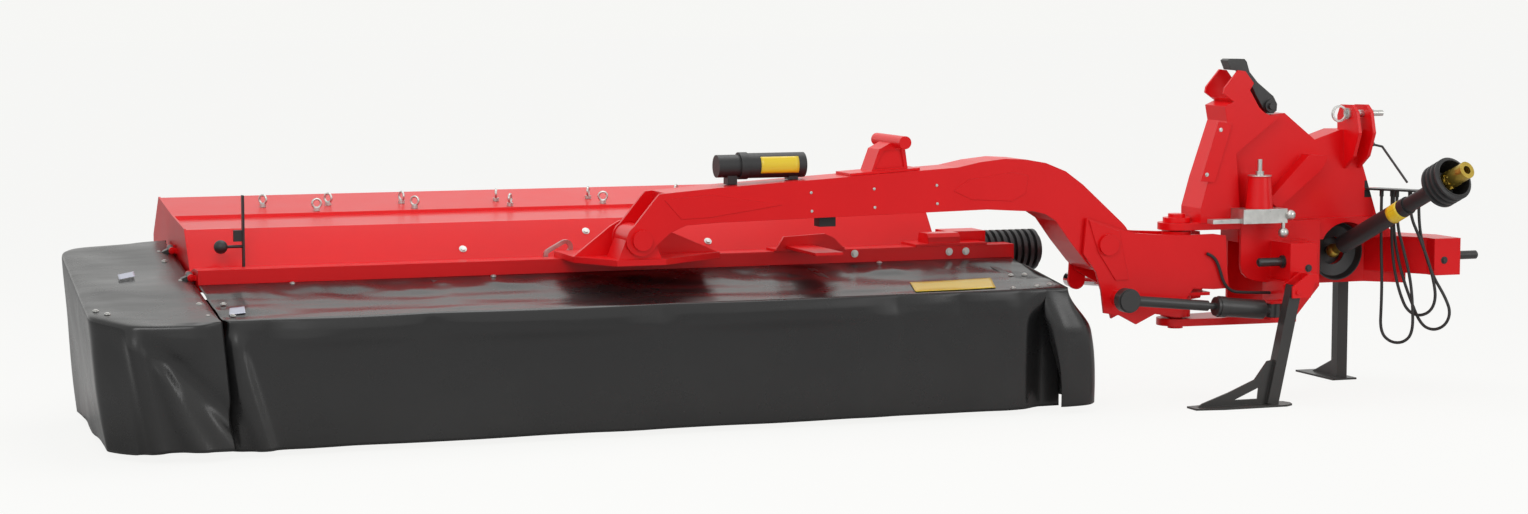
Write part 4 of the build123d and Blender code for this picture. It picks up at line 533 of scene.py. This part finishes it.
flap_rows = []
for row in range(41):
    up = row / 40
    places = []
    for column in range(61):
        share = column / 60
        spot = along(flap_path, share)
        edge_x = FLAP_EDGE_X + (GUARD_RIGHT - FLAP_EDGE_X) * ease(share, 0.0, FLAP_TURN)
        edge_y = 0.43 * ease(share, FLAP_TURN, 1.0)
        top_z = FOLD_Z + GUARD_SLOPE * max(0.0, edge_y)
        low_z = HEM_Z + 0.006 + 0.085 * ease(share, 0.2, 1.0)
        meet = ease(up, 0.62, 1.0)
        bulge = 0.012 * sin(pi * up) * (0.4 + noise.noise(Vector((share * 4.0, up * 2.0, 3.0))))
        free = 1 - ease(share, 0.0, 0.12)
        x = spot.x + (edge_x - spot.x) * meet + bulge * ease(share, 0.15, 0.4)
        x += free * (0.075 * (1 - ease(up, 0.0, 0.8)) - 0.012 * ridge(up - 0.82, 0.10))
        x += 0.035 * (1 - ease(up, 0.1, 0.95)) * ease(share, 0.12, 0.3) * (1 - ease(share, FLAP_TURN, 0.50))
        y = spot.y + (edge_y - spot.y) * meet - bulge * (1 - ease(share, 0.15, 0.5))
        limit = GUARD_RIGHT + 0.006 if y > 0.11 else FLAP_REACH
        places.append(at(min(x, limit), y, low_z + (top_z - low_z) * up))
    flap_rows.append(places)
for passes in range(3):
    for row in flap_rows:
        row[1:-1] = [(a + b * 2 + c) / 4 for a, b, c in zip(row, row[1:], row[2:])]
main_guard = cloth("main_guard_cloth", [guard_rows, flap_rows], tarpaulin)
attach(main_guard, "mower")
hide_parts("front_curtain")

# %% [markdown]
# The outer guard folds up for transport, so it is a cover of its own over a hinged frame.
# Its wall follows a plan with rounded corners and leans in a little towards the hem, where nothing
# holds it. Two diagonal folds run down from its front corner, where the cover is pulled tight.

# %% Outer guard
OUTER_PLAN = ((-0.066, 1.316), (-0.450, 1.256), (-0.500, 1.196), (-0.528, 0.130), (-0.400, -0.034),
              (-0.150, -0.064), (-0.066, -0.030))
OUTER_ACROSS = 200


plan_length = sum(hypot(b[0] - a[0], b[1] - a[1]) for a, b in zip(OUTER_PLAN, OUTER_PLAN[1:]))
corner_share = 1.0 - (hypot(0.084, 0.034) + hypot(0.25, 0.03)) / plan_length
edge = [along(OUTER_PLAN, n / OUTER_ACROSS) for n in range(OUTER_ACROSS + 1)]
for passes in range(10):
    edge[1:-1] = [(a + b * 2 + c) / 4 for a, b, c in zip(edge, edge[1:], edge[2:])]
outward = []
for n, spot in enumerate(edge):
    tangent = (edge[min(n + 1, OUTER_ACROSS)] - edge[max(n - 1, 0)]).normalized()
    outward.append(Vector((tangent.y, -tangent.x)))
outer_rows = []
for row in range(45):
    up = 1 - (1 - row / 44) ** 1.2
    places = []
    for n, (spot, normal) in enumerate(zip(edge, outward)):
        share = n / OUTER_ACROSS
        top_z = FOLD_Z + GUARD_SLOPE * spot.y
        low_z = HEM_Z + 0.008 + 0.012 * noise.noise(Vector((share * 7.0, 1.0, 2.0)))
        below = 1.0 - up
        run = (share - corner_share) * plan_length
        lean = 0.060 * below ** 1.3 * ease(share, 0.05, 0.3) * (1 - ease(share, 0.80, 0.97))
        out = 0.012 * noise.noise(Vector((run * 3.0, up * 1.5, 7.0))) * ease(below, 0, 0.3)
        out += 0.026 * ridge(run - 0.09 * below, 0.032) * ease(below, 0.0, 0.2)
        out += 0.020 * ridge(run - 0.05 - 0.17 * below, 0.028) * ease(below, 0.1, 0.4)
        out -= 0.020 * ridge(run - 0.02 - 0.42 * below, 0.050) * ease(below, 0.05, 0.3)
        out += 0.010 * ridge(below - 0.16, 0.10) * ease(run, 0.02, 0.08) * (1 - ease(run, 0.22, 0.30))
        height = low_z + (top_z - low_z) * up
        inwards = 0.045 * below * ease(share, 0.90, 0.98)
        places.append(at(spot.x + normal.x * (out - lean) + inwards,
                         spot.y + normal.y * (out - lean), height))
    outer_rows.append(places)
for row in range(1, 31):
    part = (row / 30) ** 1.15
    places = []
    for n, spot in enumerate(edge):
        inner = Vector((-0.070, edge[-1].y + (edge[0].y - edge[-1].y) * (1 - n / OUTER_ACROSS)))
        x, y = spot.lerp(inner, part)
        swell = 0.010 * noise.noise(Vector((x * 5.0, y * 3.0, 5.0))) + 0.004
        swell *= min(1.0, part / 0.2) * min(1.0, (1 - part) / 0.08)
        places.append(at(x, y, FOLD_Z + GUARD_SLOPE * y + swell))
    outer_rows.append(places)
soften(outer_rows, 39, 50, 5)
outer_guard = cloth("outer_guard_cloth", [outer_rows], tarpaulin)
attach(outer_guard, "outer_guard")
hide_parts("outer_curtain")

# %% [markdown]
# Bolts and eye nuts come in rows, so each kind is one Geometry Nodes tree. Its points carry
# the way they face, and the tree places a small model on each and turns it that way. The result is
# made real and baked to a plain mesh for each set of places, attached to the body the pieces ride with.

# %% Fastener trees


def node_in(tree, kind, **values):
    """A node with its inputs set by name."""
    made = tree.nodes.new(kind)
    for name, value in values.items():
        made.inputs[name.replace("_", " ")].default_value = value
    return made


def fastener_tree(name, sizes, model, material):
    """A tree that puts a model on every point, turned to the point's 'facing' attribute."""
    tree = bpy.data.node_groups.new(name, "GeometryNodeTree")
    tree.interface.new_socket("Points", in_out="INPUT", socket_type="NodeSocketGeometry")
    for size, value in sizes.items():
        tree.interface.new_socket(size, in_out="INPUT", socket_type="NodeSocketFloat").default_value = value
    tree.interface.new_socket("Fasteners", in_out="OUTPUT", socket_type="NodeSocketGeometry")
    given, result = tree.nodes.new("NodeGroupInput"), tree.nodes.new("NodeGroupOutput")
    facing = tree.nodes.new("GeometryNodeInputNamedAttribute")
    facing.data_type = "FLOAT_VECTOR"
    facing.inputs["Name"].default_value = "facing"
    turn = tree.nodes.new("FunctionNodeAlignRotationToVector")
    turn.axis = "Z"
    link(tree, facing.outputs["Attribute"], turn.inputs["Vector"])
    spin = tree.nodes.new("FunctionNodeRotateRotation")
    spin.rotation_space = "LOCAL"
    chance = tree.nodes.new("FunctionNodeRandomValue")
    chance.data_type = "FLOAT_VECTOR"
    chance.inputs["Min"].default_value = (0, 0, -1.5)
    chance.inputs["Max"].default_value = (0, 0, 1.5)
    chance.inputs["Seed"].default_value = 7
    angles = tree.nodes.new("FunctionNodeEulerToRotation")
    link(tree, chance.outputs["Value"], angles.inputs[0])
    link(tree, turn.outputs[0], spin.inputs["Rotation"])
    link(tree, angles.outputs[0], spin.inputs["Rotate By"])
    place = tree.nodes.new("GeometryNodeInstanceOnPoints")
    link(tree, given.outputs["Points"], place.inputs["Points"])
    link(tree, model(tree, given), place.inputs["Instance"])
    link(tree, spin.outputs[0], place.inputs["Rotation"])
    real = tree.nodes.new("GeometryNodeRealizeInstances")
    paint = tree.nodes.new("GeometryNodeSetMaterial")
    paint.inputs["Material"].default_value = material
    link(tree, place.outputs[0], real.inputs[0])
    link(tree, real.outputs[0], paint.inputs[0])
    link(tree, paint.outputs[0], result.inputs[0])
    return tree


def join(tree, parts):
    """One geometry from several."""
    made = tree.nodes.new("GeometryNodeJoinGeometry")
    for part in reversed(parts):
        link(tree, part, made.inputs[0])
    return made.outputs[0]


def raised(tree, part, height):
    """A part moved up its own axis by a socket's value."""
    shift, move = tree.nodes.new("ShaderNodeCombineXYZ"), tree.nodes.new("GeometryNodeTransform")
    link(tree, height, shift.inputs["Z"])
    link(tree, part, move.inputs["Geometry"])
    link(tree, shift.outputs[0], move.inputs["Translation"])
    return move.outputs[0]


def bolt_model(tree, given):
    """A hexagon head on a washer."""
    head = node_in(tree, "GeometryNodeMeshCylinder", Vertices=6)
    washer = node_in(tree, "GeometryNodeMeshCylinder", Vertices=18)
    thin = math_node(tree, "MULTIPLY", given.outputs["Height"], 0.5)
    for part, width, height in ((head, 1.0, given.outputs["Height"]), (washer, 1.45, thin)):
        link(tree, math_node(tree, "MULTIPLY", given.outputs["Radius"], width), part.inputs["Radius"])
        link(tree, height, part.inputs["Depth"])
    return join(tree, [raised(tree, head.outputs["Mesh"], thin),
                       washer.outputs["Mesh"]])


def eye_model(tree, given):
    """An eye nut: a ring that stands on a collar."""
    ring = tree.nodes.new("GeometryNodeCurvePrimitiveCircle")
    ring.inputs["Resolution"].default_value = 24
    bar = tree.nodes.new("GeometryNodeCurvePrimitiveCircle")
    bar.inputs["Resolution"].default_value = 10
    link(tree, given.outputs["Radius"], ring.inputs["Radius"])
    link(tree, math_node(tree, "MULTIPLY", given.outputs["Radius"], 0.27), bar.inputs["Radius"])
    body = tree.nodes.new("GeometryNodeCurveToMesh")
    link(tree, ring.outputs["Curve"], body.inputs["Curve"])
    link(tree, bar.outputs["Curve"], body.inputs["Profile Curve"])
    stand = tree.nodes.new("GeometryNodeTransform")
    stand.inputs["Rotation"].default_value = (pi / 2, 0, 0)
    link(tree, body.outputs["Mesh"], stand.inputs["Geometry"])
    collar = node_in(tree, "GeometryNodeMeshCylinder", Vertices=14)
    link(tree, math_node(tree, "MULTIPLY", given.outputs["Radius"], 0.75), collar.inputs["Radius"])
    link(tree, math_node(tree, "MULTIPLY", given.outputs["Radius"], 0.8), collar.inputs["Depth"])
    up = math_node(tree, "MULTIPLY", given.outputs["Radius"], 1.75)
    low = math_node(tree, "MULTIPLY", given.outputs["Radius"], 0.4)
    return join(tree, [raised(tree, stand.outputs[0], up),
                       raised(tree, collar.outputs["Mesh"], low)])


BRIGHT_BOLT = fastener_tree("hex bolt", {"Radius": 0.011, "Height": 0.008}, bolt_model, zinc_steel)
BLACK_BOLT = fastener_tree("black bolt", {"Radius": 0.011, "Height": 0.008}, bolt_model,
                           black_enamel)
EYE_NUT = fastener_tree("eye nut", {"Radius": 0.018}, eye_model, zinc_steel)


def fasteners(name, tree, body, slot, rows, **sizes):
    """Bakes one kind of fastener at (place, facing) pairs, as a piece of a body."""
    made = bpy.data.meshes.new(name)
    made.from_pydata([tuple(at(*place)) for place, facing in rows], [], [])
    facing = made.attributes.new("facing", "FLOAT_VECTOR", "POINT")
    for point, row in zip(facing.data, rows):
        point.vector = Vector(row[1]).normalized()
    holder = bpy.data.objects.new(name + "_points", made)
    scene.collection.objects.link(holder)
    modifier = holder.modifiers.new("fasteners", "NODES")
    modifier.node_group = tree
    for item in tree.interface.items_tree:
        if item.name in sizes:
            modifier[item.identifier] = sizes[item.name]
    baked = bpy.data.meshes.new_from_object(holder.evaluated_get(bpy.context.evaluated_depsgraph_get()))
    bpy.data.objects.remove(holder)
    piece = bpy.data.objects.new(name, baked)
    scene.collection.objects.link(piece)
    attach(piece, body)
    print(name, len(rows), "fasteners,", len(baked.polygons), "faces")
    return piece


# %% Fasteners
FRONT, UP = (0, -1, 0), (0, 0, 1)
hood_face = (0, -0.77, 0.64)
top_face = (0, -0.14, 0.99)
eye_rows = [((x, 1.330, 0.823), UP) for x in (0.334, 0.605, 0.915, 1.322, 1.728, 2.125)]
eye_rows += [((x, 1.230, 0.809), UP) for x in (0.537, 0.948, 1.357, 1.764)]
fasteners("hood_eye_nuts", EYE_NUT, "mower", "bare_steel", eye_rows)
fasteners("hood_bolts", BRIGHT_BOLT, "mower", "bare_steel",
          [((1.045, 0.805, 0.673), hood_face), ((1.575, 0.850, 0.727), hood_face),
           ((2.090, 0.805, 0.673), hood_face), ((3.075, 0.557, 0.620), FRONT),
           ((3.151, 0.557, 0.620), FRONT), ((2.648, 0.557, 0.625), FRONT)])
fasteners("guard_screws", BRIGHT_BOLT, "mower", "bare_steel",
          [((x, y, FOLD_Z + GUARD_SLOPE * y), top_face) for x, y in
           ((3.214, 0.241), (3.277, 0.245), (3.126, 0.030), (3.242, 0.048), (3.308, 0.069),
            (-0.015, 0.246), (-0.010, 0.068), (0.30, 0.535), (1.10, 0.535), (2.75, 0.535))],
          Radius=0.008, Height=0.005)
fasteners("outer_guard_screws", BRIGHT_BOLT, "outer_guard", "bare_steel",
          [((x, y, FOLD_Z + GUARD_SLOPE * y + 0.004), top_face) for x, y in
           ((-0.127, 0.952), (-0.118, 0.612), (-0.105, 0.246), (-0.104, 0.055), (-0.455, 0.147),
            (-0.490, 0.200), (-0.125, 1.110))], Radius=0.008, Height=0.005)
arm_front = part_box("arm_beam")[0].y - CORNER.y
fasteners("arm_rivets", BRIGHT_BOLT, "arm", "bare_steel",
          [((x, arm_front, z), FRONT) for x, z in
           ((2.302, 0.914), (2.572, 0.922), (2.844, 0.930), (2.305, 0.840), (2.575, 0.848),
            (2.847, 0.856))], Radius=0.004, Height=0.002)
fasteners("bracket_bolts", BLACK_BOLT, "headstock", "black_steel",
          [((4.468, 0.0, 0.555), FRONT), ((5.128, 0.0, 0.567), FRONT)])
fasteners("strip_bolts", BRIGHT_BOLT, "headstock", "bare_steel",
          [((4.130, 0.154, 1.132), FRONT), ((4.068, 0.154, 0.946), FRONT)], Radius=0.006, Height=0.005)

# %% [markdown]
# The tractor's hoses hang in three loops under a holder beside the mast. Rubber hose bends evenly,
# so each one is a single NURBS curve shaped by the loop's control points, with a round section.
# Its ends point straight down out of the holder's sockets. A fourth, short hose runs across the
# swing hinge. It rides on the swing frame alone, because a curve can't be shared by two bodies.

# %% Hoses
HOSE_DIAMETER = 0.013
HOSE_START, HOSE_ALONG, HOSE_ASIDE = (4.908, 0.150), (0.5145, -0.8575), (0.8575, 0.5145)
HOSES = {  # tube length, shift aside, then (along, height) from the holder down and back
    "hose_a": (1.345, 0.0, (
        (0.000, 0.835), (0.000, 0.724), (0.003, 0.609), (0.009, 0.492), (0.009, 0.374),
        (0.005, 0.256), (0.050, 0.212), (0.113, 0.212), (0.158, 0.256), (0.156, 0.374),
        (0.142, 0.491), (0.110, 0.606), (0.072, 0.722), (0.072, 0.835))),
    "hose_b": (1.117, 0.022, (
        (0.038, 0.835), (0.038, 0.730), (0.042, 0.618), (0.058, 0.508), (0.084, 0.420),
        (0.118, 0.350), (0.174, 0.329), (0.229, 0.354), (0.251, 0.410), (0.240, 0.482),
        (0.212, 0.570), (0.168, 0.670), (0.122, 0.762), (0.122, 0.835))),
    "hose_c": (1.258, 0.044, (
        (0.034, 0.835), (0.034, 0.725), (0.050, 0.612), (0.080, 0.500), (0.122, 0.396),
        (0.172, 0.292), (0.231, 0.270), (0.288, 0.297), (0.310, 0.356), (0.279, 0.424),
        (0.226, 0.500), (0.184, 0.600), (0.152, 0.722), (0.152, 0.835))),
}


def cord_curve(name, places, diameter, material):
    """A round cord along one smooth NURBS curve."""
    made = bpy.data.curves.new(name, "CURVE")
    made.dimensions = "3D"
    made.resolution_u = 10
    made.bevel_depth, made.bevel_resolution = diameter / 2, 4
    made.use_fill_caps = True
    spline = made.splines.new("NURBS")
    spline.points.add(len(places) - 1)
    for point, place in zip(spline.points, places):
        point.co = (*place, 1.0)
    spline.order_u = 3
    spline.use_endpoint_u = True
    made.materials.append(material)
    piece = bpy.data.objects.new(name, made)
    scene.collection.objects.link(piece)
    return piece


for name, (length, aside, route) in HOSES.items():
    places = [at(HOSE_START[0] + HOSE_ALONG[0] * along_it + HOSE_ASIDE[0] * aside,
                 HOSE_START[1] + HOSE_ALONG[1] * along_it + HOSE_ASIDE[1] * aside, height)
              for along_it, height in route]
    hose = cord_curve(name + "_rubber", places, HOSE_DIAMETER, black_rubber)
    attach(hose, "headstock")
    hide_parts(name)
# the fourth hose, from the swing frame's face down and across to the headstock
places = [at(x, 0.130, z) for x, z in
          ((4.061, 0.617), (4.095, 0.606), (4.122, 0.552), (4.138, 0.497), (4.173, 0.456),
           (4.234, 0.448), (4.362, 0.443))]
spring_hose = cord_curve("spring_hose_rubber", places, HOSE_DIAMETER, black_rubber)
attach(spring_hose, "swing")
print("hoses:", len(HOSES) + 1)

# %% [markdown]
# Two stickers, two small tags and the drive shaft's band are thin pieces laid just proud of what
# carries them. Their vinyl has a smooth, slightly glossy face. They are left blank.

# %% Stickers and band
yellow_vinyl = finish("yellow_vinyl", (0.86, 0.62, 0.02), 0.38, coat=0.3, grain=(14.0, 0.06, 0.08),
                      relief=(300.0, 0.00005), round_edges=0)
pale_vinyl = finish("pale_vinyl", (0.50, 0.52, 0.62), 0.40, coat=0.2, grain=(14.0, 0.06, 0.08),
                    relief=(300.0, 0.00005), round_edges=0)


def patch(name, rows, material, body, depth=0.0008):
    """A thin patch over a grid of places, its thickness laid outwards."""
    piece = cloth(name, [rows], material)
    piece.modifiers["wall"].thickness, piece.modifiers["wall"].offset = depth, 1.0
    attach(piece, body)
    return piece


def over_top(corners, steps, height):
    """Places over the main guard's top between four corners, (x, depth), front edge first."""
    rows = []
    for row in range(steps + 1):
        up = row / steps
        ends = [Vector(corners[k]).lerp(Vector(corners[3 - k]), up) for k in (0, 1)]
        line = [ends[0].lerp(ends[1], n / (steps * 2)) for n in range(steps * 2 + 1)]
        rows.append([top_place(x, y) + Vector((0, 0, height)) for x, y in line])
    return rows


patch("guard_sticker", over_top([(2.700, 0.030), (3.056, 0.044), (3.110, 0.215), (2.745, 0.200)],
                                12, 0.003), yellow_vinyl, "mower")
patch("guard_tag", over_top([(-0.012, 0.088), (0.042, 0.100), (0.052, 0.185), (0.000, 0.172)],
                            6, 0.003), pale_vinyl, "mower")
outer_tag = [[at(x, y, FOLD_Z + GUARD_SLOPE * y + 0.0115) for x, y in
              [Vector((-0.345, 0.640)).lerp(Vector((-0.278, 0.686)), n / 6)
               + Vector((0.004, 0.078)) * row / 6 for n in range(7)]] for row in range(7)]
patch("outer_guard_tag", outer_tag, pale_vinyl, "outer_guard")
tube_low, tube_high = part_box("document_tube")
tube_middle = (tube_low.y + tube_high.y) / 2
TUBE_STICKER_RADIUS = 0.0505    # half a millimetre outside the tube
TUBE_TOP = 0.054                # from the tube's axis to the top of its collar
tube_z = tube_high.z - TUBE_TOP
tube_rows = [[Vector((CORNER.x + 2.112 + 0.160 * n / 10,
                      tube_middle - TUBE_STICKER_RADIUS * cos(radians(angle)),
                      tube_z + TUBE_STICKER_RADIUS * sin(radians(angle)))) for n in range(11)]
             for angle in range(-35, 46, 8)]
patch("tube_sticker", tube_rows, yellow_vinyl, "arm")

BAND_RADIUS, BAND_START, BAND_SHARE = 0.0396, 0.46, 0.075
shaft_foot, shaft_tip = at(4.765, 0.300, 0.594), at(4.900, -0.500, 0.987)
shaft_axis = (shaft_tip - shaft_foot).normalized()
shaft_side = shaft_axis.cross(Vector((0, 0, 1))).normalized()
shaft_up = shaft_side.cross(shaft_axis)
band_rows = []
for step in range(5):
    centre = shaft_foot.lerp(shaft_tip, BAND_START + BAND_SHARE * step / 4)
    band_rows.append([centre + BAND_RADIUS * (shaft_side * cos(2 * pi * n / 48)
                                         + shaft_up * sin(2 * pi * n / 48)) for n in range(49)])
patch("shaft_band", band_rows, yellow_vinyl, "shaft_guard", 0.0015)
print("blank stickers, tags and band: 5")
